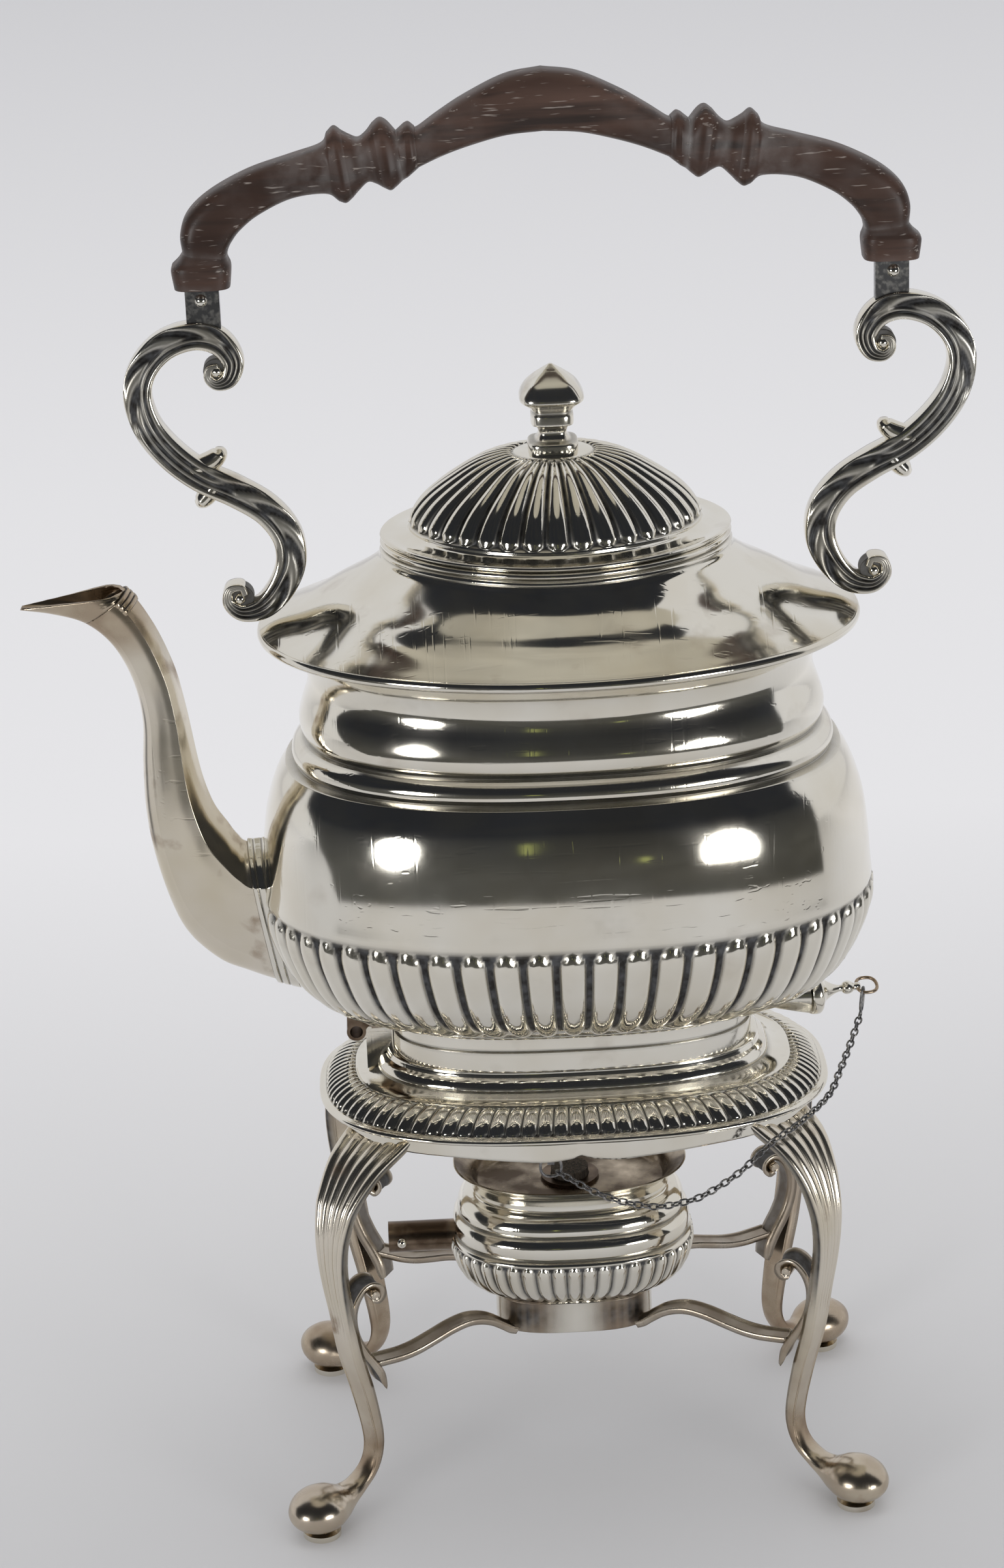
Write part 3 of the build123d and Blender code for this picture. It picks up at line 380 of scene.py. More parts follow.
# %% Fire-stained and oxidised silver
FIRE_SWEEPS, FIRE_DARK, FIRE_PALE = (140.0, 0.42, 0.70, 4.0), (0.115, 0.080, 0.055), (0.33, 0.25, 0.18)
RUBBED_SPOTS, CHAIN_DARK, CHAIN_PALE = (900.0, 0.45, 0.70, 2.0), (0.16, 0.16, 0.165), (0.42, 0.41, 0.39)


def fire_stained_finish():
    """Silver browned by the flame: dark brown, with paler sweeps that run outwards."""
    material, shader, link, add = new_finish("silver_fire_stained", 0.30, 1.0)
    link(mix_colour(add, patches(add, *FIRE_SWEEPS), FIRE_DARK, FIRE_PALE), shader.inputs["Base Color"])
    return material


def oxidised_finish():
    """Darkened silver of the chain: grey-black with rubbed spots."""
    material, shader, link, add = new_finish("silver_oxidised", 0.34, 1.0)
    link(mix_colour(add, patches(add, *RUBBED_SPOTS), CHAIN_DARK, CHAIN_PALE), shader.inputs["Base Color"])
    return material


CHAIN_METAL = oxidised_finish()
FIRE_STAINED = fire_stained_finish()
print("dark silver", CHAIN_METAL.name, FIRE_STAINED.name)

# %% [markdown]
# The grip is dark open-pored wood. Its pores run along the grain, so the same cloudy pattern is stretched
# along X until it becomes lines. Dust has settled between the beads, where the recess attribute is high.

# %% Wood and wick
WOOD_BANDS = (95.0, 0.30, 0.72, 5.0, (0.16, 1.0, 1.0))
WOOD_VEINS = (330.0, 0.50, 0.72, 3.0, (0.07, 1.0, 1.0), (0.0, 0.06, 0.0))
WOOD_PORES = (1500.0, 0.64, 0.72, 2.0, (0.10, 1.0, 1.0), (0.0, 0.04, 0.02))
DUST_CLOUDS = (210.0, 0.30, 0.62, 4.0)
WOOD_DARK, WOOD_PALE, VEIN_DARK = (0.030, 0.017, 0.013), (0.082, 0.046, 0.034), (0.026, 0.017, 0.014)
PORE_DUST, BEAD_DUST = (0.34, 0.30, 0.27), (0.20, 0.19, 0.185)
PORE_SHARE, DUST_SHARE = 0.55, 0.62
THREADS, CHAR_DARK, CHAR_PALE = (2500.0, 0.35, 0.65, 2.0, (1.0, 1.0, 0.2)), (0.04, 0.034, 0.03), (0.13,
                                                                                                  0.105,
                                                                                                  0.08)


def wood_finish():
    """Dark open-pored hardwood: bands along X, dark veins, and pale dust in the long pores."""
    material, shader, link, add = new_finish("wood_grip", 0.42, 0.0)
    shader.inputs["Specular IOR Level"].default_value = 0.28
    bands, veins, pores = [patches(add, *pattern) for pattern in (WOOD_BANDS, WOOD_VEINS, WOOD_PORES)]
    recess = add("ShaderNodeAttribute", attribute_name="recess").outputs["Fac"]
    colour = mix_colour(add, bands, WOOD_DARK, WOOD_PALE)
    colour = mix_colour(add, veins, colour, VEIN_DARK)
    colour = mix_colour(add, arithmetic(add, "MULTIPLY", pores, PORE_SHARE), colour, PORE_DUST)
    dusty = arithmetic(add, "MULTIPLY", recess, patches(add, *DUST_CLOUDS))
    colour = mix_colour(add, arithmetic(add, "MULTIPLY", dusty, DUST_SHARE), colour, BEAD_DUST)
    link(colour, shader.inputs["Base Color"])
    link(arithmetic(add, "ADD", arithmetic(add, "MULTIPLY", bands, 0.14), 0.32), shader.inputs["Roughness"])
    sunk_pores = arithmetic(add, "MULTIPLY", pores, -1.0)
    height = arithmetic(add, "ADD", sunk_pores, arithmetic(add, "MULTIPLY", veins, -0.4))
    grain = add("ShaderNodeBump", {"Height": height, "Strength": 0.5, "Distance": 0.00012})
    link(grain.outputs["Normal"], shader.inputs["Normal"])
    return material


def wick_finish():
    """Cotton wick, charred on top."""
    material, shader, link, add = new_finish("wick_cotton", 0.95, 0.0)
    link(mix_colour(add, patches(add, *THREADS), CHAR_DARK, CHAR_PALE), shader.inputs["Base Color"])
    return material


WOOD = wood_finish()
COTTON = wick_finish()
print("finishes", [m.name for m in bpy.data.materials])

# %% [markdown]
# ## The kettle's body
# The body was raised from sheet: a bulging belly, two rounded bands at the neck, and a flare up to the rim.
# Its lower third is chased with upright lobes. The lobes are part of one surface: every point of the smooth
# body moves along its own normal by the height of a lobe, and the hollow between two lobes is marked dark.

# %% Lobes
def lobes(count, centre_turn, phi, share, pointed, width):
    """Height 0..1 of convex lobes: an ellipse across each lobe, narrowed to round heads at both ends.

    share runs from 0 to 1 along the lobe. The half width w follows a quarter circle near each end, and the
    height across is sqrt(1 - (s / w)^2), with s from -1 to 1 across one pitch."""
    across = ((phi - centre_turn) * count / (2 * np.pi) + 0.5) % 1.0 * 2 - 1
    end = np.clip(np.minimum(share, 1 - share) / pointed, 0, 1)
    half = width * np.sqrt(np.clip(1 - (1 - end) ** 2, 0, 1))
    inside = np.clip(1 - (across[None] / np.maximum(half[:, None], 1e-3)) ** 2, 0, 1)
    return np.sqrt(inside) * np.sqrt(np.clip(end, 0, 1))[:, None] ** 0.5


def lobe_columns(count, centre_turn, width):
    """Polar turns with ten columns to a lobe, set where its section bends: groove, foot, flank, crown."""
    across = np.array([-1.0, -width - 0.05, -width + 0.03, -0.80 * width, -0.45 * width, 0.0, 0.45 * width,
                       0.80 * width, width - 0.03, width + 0.05])
    return (centre_turn + np.pi / count * (2 * np.arange(count)[:, None] + across[None])).ravel()


def nearest_row(levels, height, least_a=0.0):
    """The row closest to a height, among the rows whose half length a is at least least_a."""
    return int(np.argmin(np.abs(levels[:, 3] - height) + (levels[:, 0] < least_a) * 99))


def lobed(levels, phi, first, last, count, centre_turn, high, deep, pointed=0.10, x0=0.0, width=0.90):
    """Oval rows with lobes between rows first and last: point + normal (high rise - deep (1 - rise)).

    It returns the grid and its recess, which is 1 in the grooves and falls to 0 half way up a lobe."""
    points = oval_rows(levels, phi, x0)
    mean = np.stack([(levels[:, 0] + levels[:, 1]) / 2, levels[:, 3]], -1)
    way = length_along(mean)
    share = (way - way[first]) / (way[last] - way[first])
    rise = lobes(count, centre_turn, phi, np.clip(share, 0, 1), pointed, width)
    rise[(share <= 0) | (share >= 1)] = 0
    zone = ease(-0.02, 0.03, share) * (1 - ease(0.97, 1.02, share))
    height = (high + deep) * rise - deep * zone[:, None]
    recess = np.clip(1.0 - rise * 2.0, 0, 1) * zone[:, None]
    return points + outward(points) * height[..., None], recess


print("a lobe's height across", lobes(1, 0.0, np.linspace(-3, 3, 5), np.array([0.5]), 0.1, 0.8).round(2)[0])

# %% [markdown]
# Reading a profile in runs keeps each step crisp: the curve is smooth inside a run and turns sharply where
# two runs meet. The inside of the sheet is the same kind of profile, read downwards.

# %% Body levels
BODY_LOBES = 60
LOBE_TURN = np.radians(269.1)
LOBE_WIDTH, LOBE_HIGH, LOBE_DEEP, LOBE_HEAD = 0.80, 0.85, 0.85, 0.12
LOBES_FROM, LOBES_TO = 122.9, 152.0
STEP_HEIGHTS, STEP_WIDE, STEP_DARK = (121.9, 185.2, 190.9, 215.1), 0.35, 0.55
INSIDE_DARK = 0.15
floor_run = [(8, 4, 2.6, 120.5), (44.6, 23.0, 2.6, 120.5)]
band_run = [(44.6, 23.0, 2.6, 120.5), (45.3, 23.8, 2.6, 121.1), (45.6, 24.1, 2.6, 122.2)]
belly_run = [(45.6, 24.1, 2.6, 122.2), (50.0, 28.0, 2.6, 124.0), (56.5, 34.2, 2.55, 126.4),
             (62.0, 39.2, 2.5, 129.9), (66.6, 43.3, 2.5, 135.6), (70.0, 46.0, 2.45, 142.8),
             (71.6, 47.2, 2.4, 148.0), (72.0, 47.5, 2.4, 152.0), (71.6, 47.4, 2.4, 157.0),
             (71.0, 47.2, 2.4, 165.0), (69.8, 46.4, 2.4, 173.0), (67.5, 44.8, 2.4, 180.0),
             (64.8, 42.6, 2.35, 184.8)]
low_step = [(64.8, 42.6, 2.35, 184.8), (62.2, 40.5, 2.35, 185.3)]
low_band = [(62.2, 40.5, 2.35, 185.3), (63.2, 41.3, 2.3, 187.0), (62.6, 40.9, 2.3, 189.0),
            (60.6, 39.3, 2.3, 190.6)]
high_step = [(60.6, 39.3, 2.3, 190.6), (59.6, 38.4, 2.3, 191.0)]
high_band = [(59.6, 38.4, 2.3, 191.0), (60.8, 39.6, 2.3, 193.4), (61.0, 39.9, 2.3, 196.0),
             (60.0, 39.1, 2.3, 199.5), (58.8, 38.2, 2.25, 203.0), (58.6, 38.2, 2.2, 206.0),
             (60.0, 39.6, 2.2, 210.0), (63.6, 43.4, 2.15, 213.6), (68.6, 49.0, 2.1, 215.0)]
rim_run = [(68.6, 49.0, 2.1, 215.0), (69.4, 49.8, 2.1, 215.6), (69.6, 50.0, 2.1, 216.4),
           (69.2, 49.6, 2.1, 217.3), (68.6, 49.0, 2.1, 217.5)]
inside_run = [(67.6, 48.0, 2.1, 217.4), (67.6, 48.0, 2.1, 216.0), (62.4, 42.2, 2.15, 214.6),
              (58.6, 38.2, 2.2, 210.8), (57.2, 36.8, 2.2, 206.0), (58.0, 37.0, 2.25, 200.0),
              (58.2, 37.0, 2.3, 192.0), (61.0, 39.2, 2.35, 185.6), (66.0, 43.4, 2.4, 180.0),
              (69.8, 45.8, 2.4, 165.0), (70.4, 46.0, 2.4, 152.0), (68.4, 44.6, 2.45, 143.4),
              (60.6, 38.0, 2.5, 130.6), (49.2, 27.2, 2.6, 124.8), (43.6, 22.0, 2.6, 121.7),
              (8, 4, 2.6, 121.7)]
low_part = runs(floor_run, band_run, belly_run, steps=5)
high_part = runs(low_step, low_band, high_step, high_band, rim_run, steps=3)
outer = np.vstack([low_part, high_part[1:]])
print("body levels", len(outer), "from", outer[0, 3], "to", outer[-1, 3])

# %% [markdown]
# Outside and inside are joined at the rim into one sheet with a real thickness, so the open mouth looks right
# when the lid is lifted. Two rows, the lobes' foot and their heads, say where the chasing starts and ends.

# %% Body sheet
belly_row = nearest_row(outer, LOBES_FROM, 45.8)
head_row = nearest_row(outer, LOBES_TO)
phi = lobe_columns(BODY_LOBES, LOBE_TURN, LOBE_WIDTH)
body_points, body_recess = lobed(outer, phi, belly_row, head_row, BODY_LOBES, LOBE_TURN,
                                 LOBE_HIGH, LOBE_DEEP, LOBE_HEAD, width=LOBE_WIDTH)
for step_z in STEP_HEIGHTS:
    body_recess = np.maximum(body_recess, STEP_DARK * seam_line(outer[:, 3:4], step_z, STEP_WIDE))
inner = oval_rows(inside_run, phi)
body_points = np.vstack([body_points, inner])
body_recess = np.vstack([body_recess, np.full(inner.shape[:2], INSIDE_DARK)])
make_piece("body_sheet", [shell(body_points, body_recess)], "kettle", SILVER_CHASED,
           ["kettle_body"])

# %% [markdown]
# ## Shoulder, collar and foot of the kettle
# The shoulder is a shallow hollow cone from the rim to the collar, which has two fine beads. The foot is a
# plain upright band with one small step.

# %% Shoulder
SHOULDER_COLUMNS = 240
COLLAR_DARK = 0.5
shoulder_run = [(68.9, 49.3, 2.1, 217.5), (66.6, 47.6, 2.1, 218.5), (59.7, 43.0, 2.05, 221.6),
                (53.2, 39.6, 2.0, 225.2), (46.3, 36.0, 1.95, 228.8), (41.4, 33.6, 1.9, 232.2),
                (40.2, 32.9, 1.9, 233.6)]
collar_run = [(40.2, 32.9, 1.9, 233.6), (39.8, 32.6, 1.9, 234.1)]
bead_one = [(39.8, 32.6, 1.9, 234.1), (40.5, 33.3, 1.9, 234.5), (40.2, 33.0, 1.9, 235.1),
            (39.6, 32.4, 1.9, 235.4)]
bead_two = [(39.6, 32.4, 1.9, 235.4), (40.3, 33.1, 1.9, 236.1), (40.2, 33.0, 1.9, 236.8),
            (39.6, 32.4, 1.9, 237.2)]
collar_in = [(39.6, 32.4, 1.9, 237.2), (38.7, 31.5, 1.9, 237.2)]
shoulder_in = [(38.7, 31.5, 1.9, 237.2), (38.7, 31.5, 1.9, 233.0), (45.2, 34.8, 1.95, 227.8),
               (58.4, 41.7, 2.05, 220.6), (66.0, 46.6, 2.1, 217.7), (67.6, 48.0, 2.1, 217.5)]
levels = runs(shoulder_run, collar_run, bead_one, bead_two, collar_in, shoulder_in,
              [shoulder_in[-1], shoulder_run[0]])
points = oval_rows(levels[:-1], turns(SHOULDER_COLUMNS))
seam = seam_line(levels[:-1, 3:4], 234.0, 0.25) + seam_line(levels[:-1, 3:4], 235.4, 0.2)
shoulder = shell(points, COLLAR_DARK * np.clip(seam, 0, 1), loop=True)
make_piece("shoulder_sheet", [shoulder], "kettle", SILVER, ["kettle_shoulder"])

# %% [markdown]
# The foot is a second oval sheet, soldered under the belly. Its outside, upper edge, inside and lower edge are
# one closed ring of levels, so the same helpers make it.

# %% Kettle's foot
foot_out = runs([(42.9, 22.2, 2.7, 111.05), (43.1, 22.3, 2.7, 111.4), (43.1, 22.3, 2.7, 115.9)],
                [(43.1, 22.3, 2.7, 115.9), (42.6, 21.8, 2.7, 116.15)],
                [(42.6, 21.8, 2.7, 116.15), (42.6, 21.8, 2.7, 119.3), (43.5, 22.6, 2.7, 119.7),
                 (43.8, 22.9, 2.7, 120.3), (43.2, 22.3, 2.7, 120.9)],
                [(43.2, 22.3, 2.7, 120.9), (41.6, 20.9, 2.7, 120.9)],
                [(41.6, 20.9, 2.7, 120.9), (41.6, 20.9, 2.7, 111.05)],
                [(41.6, 20.9, 2.7, 111.05), (42.9, 22.2, 2.7, 111.05)])[:-1]
points = oval_rows(foot_out, turns(SHOULDER_COLUMNS))
foot_seam = 0.7 * seam_line(foot_out[:, 3:4], 116.1, 0.25) + 0.8 * seam_line(foot_out[:, 3:4], 120.8, 0.35)
foot_band = shell(points, np.clip(foot_seam, 0, 1), loop=True)
make_piece("kettle_foot_band", [foot_band], "kettle", SILVER, ["kettle_foot"])

# %% [markdown]
# ## The lid
# The lid is a flat flange with a dome of long lobes that widen from the finial to the flange. The finial is
# square in plan: a plinth, a waisted stem with a collar, and a cushion head that ends in a soft point.

# %% Lid
LID_LOBES, LID_LOBES_FROM, LID_LOBES_TO = 36, 240.3, 256.2
dome_run = [(6.4, 6.0, 2.0, 256.6), (10.0, 8.8, 2.0, 256.1), (17.0, 14.2, 2.0, 254.3),
            (24.0, 19.4, 1.95, 250.4), (29.0, 23.2, 1.9, 246.8), (32.0, 25.6, 1.9, 243.4),
            (33.3, 26.8, 1.9, 240.6), (33.6, 27.0, 1.9, 239.4)]
flange_run = [(33.6, 27.0, 1.9, 239.4), (34.4, 27.8, 1.9, 238.8), (37.0, 30.2, 1.9, 238.3),
              (39.6, 32.4, 1.9, 238.6), (40.1, 32.9, 1.9, 238.5)]
flange_edge = [(40.1, 32.9, 1.9, 238.5), (40.3, 33.1, 1.9, 238.1), (40.0, 32.8, 1.9, 237.6)]
under_run = [(40.0, 32.8, 1.9, 237.6), (33.0, 26.4, 1.9, 237.6)]
hollow_run = [(33.0, 26.4, 1.9, 237.6), (32.2, 25.7, 1.9, 239.0), (30.8, 24.4, 1.9, 242.6),
              (27.8, 22.0, 1.9, 246.0), (22.8, 18.2, 1.95, 249.3), (15.8, 13.0, 2.0, 253.0),
              (5.4, 5.0, 2.0, 255.5)]
lid_outer = runs(dome_run, flange_run, flange_edge, under_run, hollow_run, steps=8)[::-1]
dome_edge = nearest_row(lid_outer, LID_LOBES_FROM, 32.8)
dome_top = int(np.argmin(np.abs(lid_outer[:, 3] - LID_LOBES_TO) + (lid_outer[:, 3] < 255.8) * 99))
lid_points, lid_recess = lobed(lid_outer, turns(LID_LOBES * 12), dome_edge, dome_top, LID_LOBES, LOBE_TURN,
                               0.55, 0.65, 0.07, width=0.84)
make_piece("lid_dome", [shell(lid_points, lid_recess)], "lid_body", SILVER_CHASED, ["lid"])

# %% [markdown]
# The finial is cast and filed square. It is built as ovals too, with a high roundness number that makes them
# nearly square, and soft corners come with it.

# %% Finial
FINIAL_ROUND = 3.8
FINIAL_DARK = 0.5
plinth = [(5.6, 256.0), (5.7, 256.6), (5.7, 258.4), (5.4, 258.9)]
stem = [(5.4, 258.9), (4.2, 259.2), (3.4, 260.2), (3.3, 261.2), (3.7, 262.3), (4.6, 262.8)]
collar = [(4.6, 262.8), (4.85, 263.1), (4.85, 265.0), (4.5, 265.6)]
head = [(4.5, 265.6), (4.6, 266.1), (5.6, 267.2), (7.0, 268.3), (7.35, 269.1), (6.9, 270.5), (5.7, 272.3),
        (3.9, 273.9), (2.0, 275.3), (0.4, 276.4)]
square = runs(plinth, stem, collar, head, steps=6)
square = np.column_stack([square[:, 0], square[:, 0], np.full(len(square), FINIAL_ROUND), square[:, 1]])
finial_dark = FINIAL_DARK * (seam_line(square[:, 3:4], 265.8, 0.4) + seam_line(square[:, 3:4], 259.1, 0.3))
finial = shell(oval_rows(square, turns(96)), finial_dark)
make_piece("finial_square", [finial], "lid_body", SILVER_CAST, ["finial"])

# %% [markdown]
# ## The spout
# The spout is a swan neck that was seamed and filed so that ridges run along it: a keeled underside, a
# broad side face, and a narrower upper face. Each row of SPOUT holds the underside's x and z, the upper
# side's x and z and the half width. One outline, drawn once in shares of those sizes, is fitted into every
# row.

# %% Spout
SPOUT = [(-62.0, 126.0, -66.0, 165.0, 11.4), (-69.4, 128.4, -74.6, 164.1, 11.0),
         (-76.5, 131.3, -77.3, 166.2, 10.6), (-83.0, 134.4, -79.3, 169.4, 10.1),
         (-89.8, 141.2, -81.6, 173.0, 9.6), (-93.6, 149.4, -83.0, 176.4, 9.1),
         (-96.8, 162.2, -84.3, 181.0, 8.7), (-98.1, 173.7, -85.2, 185.6, 8.3),
         (-98.0, 184.9, -86.0, 191.0, 8.0), (-97.4, 196.1, -87.3, 199.6, 7.6),
         (-99.1, 206.1, -89.3, 209.0, 7.1), (-103.1, 214.6, -93.4, 219.4, 6.6),
         (-108.9, 220.0, -99.0, 227.6, 6.0), (-116.0, 222.4, -108.0, 232.0, 4.8),
         (-123.6, 223.7, -119.5, 231.0, 2.6)]
SPOUT_STEPS = 10
MOUTH_ROW = 12 * SPOUT_STEPS
SPOUT_WALL, TROUGH_WALL = 1.1, 0.8
keel_run = [(-1.0, 0.0), (-0.94, 0.26), (-0.82, 0.46), (-0.60, 0.64)]
side_run = [(-0.60, 0.64), (-0.20, 0.82), (0.20, 0.94), (0.56, 0.96)]
top_run = [(0.56, 0.96), (0.84, 0.56), (1.0, 0.0)]
half_section = runs(keel_run, side_run, top_run, steps=6, crisp=0.2)
section = np.vstack([half_section, half_section[-2:0:-1] * [1, -1]])
spout_rows = smooth(SPOUT, SPOUT_STEPS)


def spout_grid(rows, outline, wall=0.0):
    """Sections across the spout: u from the underside to the upper side, v across; wall draws them in."""
    low, high, half_y = rows[:, 0:2], rows[:, 2:4], rows[:, 4:5]
    middle, reach = (low + high) / 2, (high - low) / 2
    half = np.linalg.norm(reach, axis=1, keepdims=True)
    unit = reach / half
    u = outline[..., 0] * (half - wall)
    v = outline[..., 1] * (half_y - wall)
    return np.stack([middle[:, 0:1] + unit[:, 0:1] * u, v, middle[:, 1:2] + unit[:, 1:2] * u], -1)


print("spout rows", spout_rows.shape, "section points", len(section))

# %% The tube, with three small steps on its upper side before the mouth
TUBE_FROM, STEPS_FROM, STEPS_TO, STEP_COUNT = 0.7, 11.62, 12.0, 3
STEP_LOW, STEP_RISE = 0.15, 0.55
SEAM_AT, SEAM_WIDE, SEAM_DARK = -0.84, 0.05, 0.75
# Brown painted shade: towards the spout's mouth, on the outside of the trough, and darker inside the spout.
MOUTH_PAINTED_SHADE, INSIDE_PAINTED_SHADE, LIP_PAINTED_SHADE = 0.75, 0.8, 0.6
row_at = np.concatenate([np.arange(TUBE_FROM, STEPS_FROM, 0.1), np.linspace(STEPS_FROM, STEPS_TO, 22)])
row_number = np.arange(len(spout_rows))
tube_rows = [np.interp(row_at * SPOUT_STEPS, row_number, spout_rows[:, k]) for k in range(5)]
tube_rows = np.stack(tube_rows, -1)
step_share = np.clip((row_at - STEPS_FROM) / (STEPS_TO - STEPS_FROM), 0, 1)
up_the_step = step_share * STEP_COUNT % 1.0
step_lift = np.where(step_share > 0, STEP_LOW + STEP_RISE * up_the_step ** 0.6, 0)
upper_side = ease(0.50, 0.62, section[:, 0])
tube_out = spout_grid(tube_rows, section[None], -step_lift[:, None] * upper_side[None])
tube_in = spout_grid(tube_rows, section[None], SPOUT_WALL)[::-1]
seam_zone = ease(160, 170, tube_rows[:, 1:2]) * (1 - ease(196, 206, tube_rows[:, 1:2]))
tube_dark = SEAM_DARK * seam_line(section[None, :, 0], SEAM_AT, SEAM_WIDE) * seam_zone
step_foot = (up_the_step < 0.2) & (step_share > 0)
tube_dark = np.maximum(tube_dark, step_foot[:, None] * upper_side[None])
# Painted shade: the tube turns brown towards the mouth and is brown inside all along.
tube_painted_shade = MOUTH_PAINTED_SHADE * ease(212, 226, tube_rows[:, 3])[:, None] + 0 * tube_dark
tube = shell(np.vstack([tube_out, tube_in]), np.vstack([tube_dark, 0 * tube_dark]),
             np.vstack([tube_painted_shade, INSIDE_PAINTED_SHADE + 0 * tube_painted_shade]), loop=True)
print("tube points", len(tube[0]))

# %% [markdown]
# The mouth is the same row of sections, cut off by a sloping plane. Each section is followed from the
# underside until it meets the plane, and the wall there is as wide as that share of the section. A Boolean
# cut would do the same, but it would leave a ragged edge on a wall this thin.

# %% The open trough of the mouth
LIP_FROM, LIP_TO = (-99.0, 227.9), (-123.6, 223.9)
NEARLY_CLOSED = 0.995
lip_slope = (LIP_TO[1] - LIP_FROM[1]) / (LIP_TO[0] - LIP_FROM[0])
trough_rows = spout_rows[MOUTH_ROW:]
dense = np.linspace(0, 1, 200)
curve_way = length_along(half_section) / length_along(half_section)[-1]
dense_half = np.stack([np.interp(dense, curve_way, half_section[:, k]) for k in (0, 1)], -1)
dense_points = spout_grid(trough_rows, dense_half[None])
over = dense_points[..., 2] > LIP_FROM[1] + lip_slope * (dense_points[..., 0] - LIP_FROM[0])
cut = np.where(over.any(1), np.argmax(over, 1), len(dense) - 1) / (len(dense) - 1)
cut[0] = NEARLY_CLOSED
TROUGH_COLUMNS = 24
sweep = np.linspace(-1, 1, 2 * TROUGH_COLUMNS + 1)[None] * cut[:, None]
around = np.stack([np.interp(np.abs(sweep), curve_way, half_section[:, 0]),
                   np.sign(sweep) * np.interp(np.abs(sweep), curve_way, half_section[:, 1])], -1)
trough_out = spout_grid(trough_rows, around)
trough_in = spout_grid(trough_rows, around[:, ::-1], TROUGH_WALL)
# Painted shade: brown on the outside of the trough and darker brown inside it.
trough_painted_shade = [np.full(trough_out.shape[:2], LIP_PAINTED_SHADE), np.full(trough_in.shape[:2], INSIDE_PAINTED_SHADE)]
trough = shell(np.concatenate([trough_out, trough_in], 1), stain_and_shade=np.concatenate(trough_painted_shade, 1))
make_piece("spout_neck", [tube, trough], "kettle", SILVER_WORN, ["spout"])

# %% [markdown]
# A collar of low mouldings goes round the spout near its root. It is the spout's own skin, moved outwards by a
# height that rises and falls along the way, so it fits without a gap.

# %% Spout socket
SOCKET_FROM, SOCKET_TO, SOCKET_PROUD = 3, 11, 0.8
SOCKET_INSIDE, GROOVE_AT, GROOVE_WIDE, GROOVE_DARK = 0.4, (0.40, 0.71, 0.99), 0.03, 0.7
socket_rows = smooth(SPOUT, SPOUT_STEPS * 4)[SOCKET_FROM * 4:SOCKET_TO * 4]
socket_way = np.linspace(0, 1, len(socket_rows))
grow = SOCKET_PROUD * np.interp(socket_way, [0.0, 0.35, 0.40, 0.45, 0.66, 0.71, 0.76, 0.94, 1.0],
                                [0.9, 0.9, 0.5, 0.9, 0.9, 0.5, 1.0, 1.0, 0.2])
socket_out = spout_grid(socket_rows, section[None], -grow[:, None])
socket_in = spout_grid(socket_rows, section[None], SOCKET_INSIDE)[::-1]
socket_dark = sum(GROOVE_DARK * seam_line(socket_way, at, GROOVE_WIDE) for at in GROOVE_AT)
socket_dark = np.concatenate([socket_dark, 0 * socket_way])
moulding = shell(np.vstack([socket_out, socket_in]), socket_dark[:, None], loop=True)
make_piece("spout_moulding", [moulding], "kettle", SILVER, ["spout_socket"])

# %% [markdown]
# ## The handle
# The grip is one piece of dark wood, cut flat and then carved: a raised middle, two pairs of turned-looking
# beads, arms that bend down, and a square block at each end. Each row below is a cut across the grip: its
# upper and lower point in the plane of the handle and its half thickness.

# %% Wooden grip
grip_runs = [
    [(0.0, 343.2, 0.0, 329.5, 5.7), (8.0, 341.9, 8.0, 328.9, 5.7), (16.8, 337.9, 15.3, 327.2, 5.6),
     (23.0, 334.2, 21.6, 325.2, 5.3), (27.6, 331.1, 27.0, 322.9, 5.0), (28.4, 331.3, 27.8, 322.4, 5.0)],
    [(28.4, 331.3, 27.8, 322.4, 5.0), (29.6, 332.2, 28.8, 321.6, 5.5), (30.6, 331.9, 30.0, 320.6, 5.5)],
    [(30.6, 331.9, 30.0, 320.6, 5.5), (32.4, 330.4, 31.2, 319.9, 5.0)],
    [(32.4, 330.4, 31.2, 319.9, 5.0), (34.4, 332.7, 32.8, 318.5, 5.8), (36.0, 333.4, 34.0, 317.8, 6.1),
     (37.6, 332.3, 35.6, 318.5, 5.8)],
    [(37.6, 332.3, 35.6, 318.5, 5.8), (39.2, 330.4, 37.2, 319.4, 5.1), (40.9, 329.3, 38.9, 319.8, 4.9),
     (42.8, 330.0, 40.8, 318.2, 5.2), (44.4, 330.9, 42.4, 316.5, 5.7)],
    [(44.4, 330.9, 42.4, 316.5, 5.7), (46.1, 332.0, 43.9, 315.4, 6.1), (47.7, 330.7, 45.4, 315.8, 5.7)],
    [(47.7, 330.7, 45.4, 315.8, 5.7), (49.2, 328.3, 48.4, 317.6, 5.2), (56.0, 326.2, 56.0, 316.9, 5.3),
     (65.5, 323.3, 63.4, 313.6, 5.5), (74.1, 319.0, 67.6, 310.4, 5.6), (79.2, 314.6, 69.6, 308.0, 5.6),
     (81.1, 310.0, 70.6, 306.2, 5.5), (80.9, 305.6, 71.0, 304.6, 5.2)],
    [(80.9, 305.6, 71.0, 304.6, 5.2), (82.0, 304.0, 70.9, 303.9, 5.6), (83.5, 302.6, 70.4, 302.7, 5.9)],
    [(83.5, 302.6, 70.4, 302.7, 5.9), (83.7, 301.4, 70.3, 301.4, 5.9), (83.2, 297.7, 70.7, 297.7, 5.7)],
]
GRIP_COLUMNS = 64
SQUARENESS = 3.6
HOLLOW_SPAN, HOLLOW_GAIN, EDGE_DUST = 13, 2.2, 0.35
right_half = runs(*grip_runs, steps=7, crisp=0.15)
left_half = right_half[::-1] * [-1, 1, -1, 1, 1]
grip_rows = np.vstack([left_half, right_half[1:]])
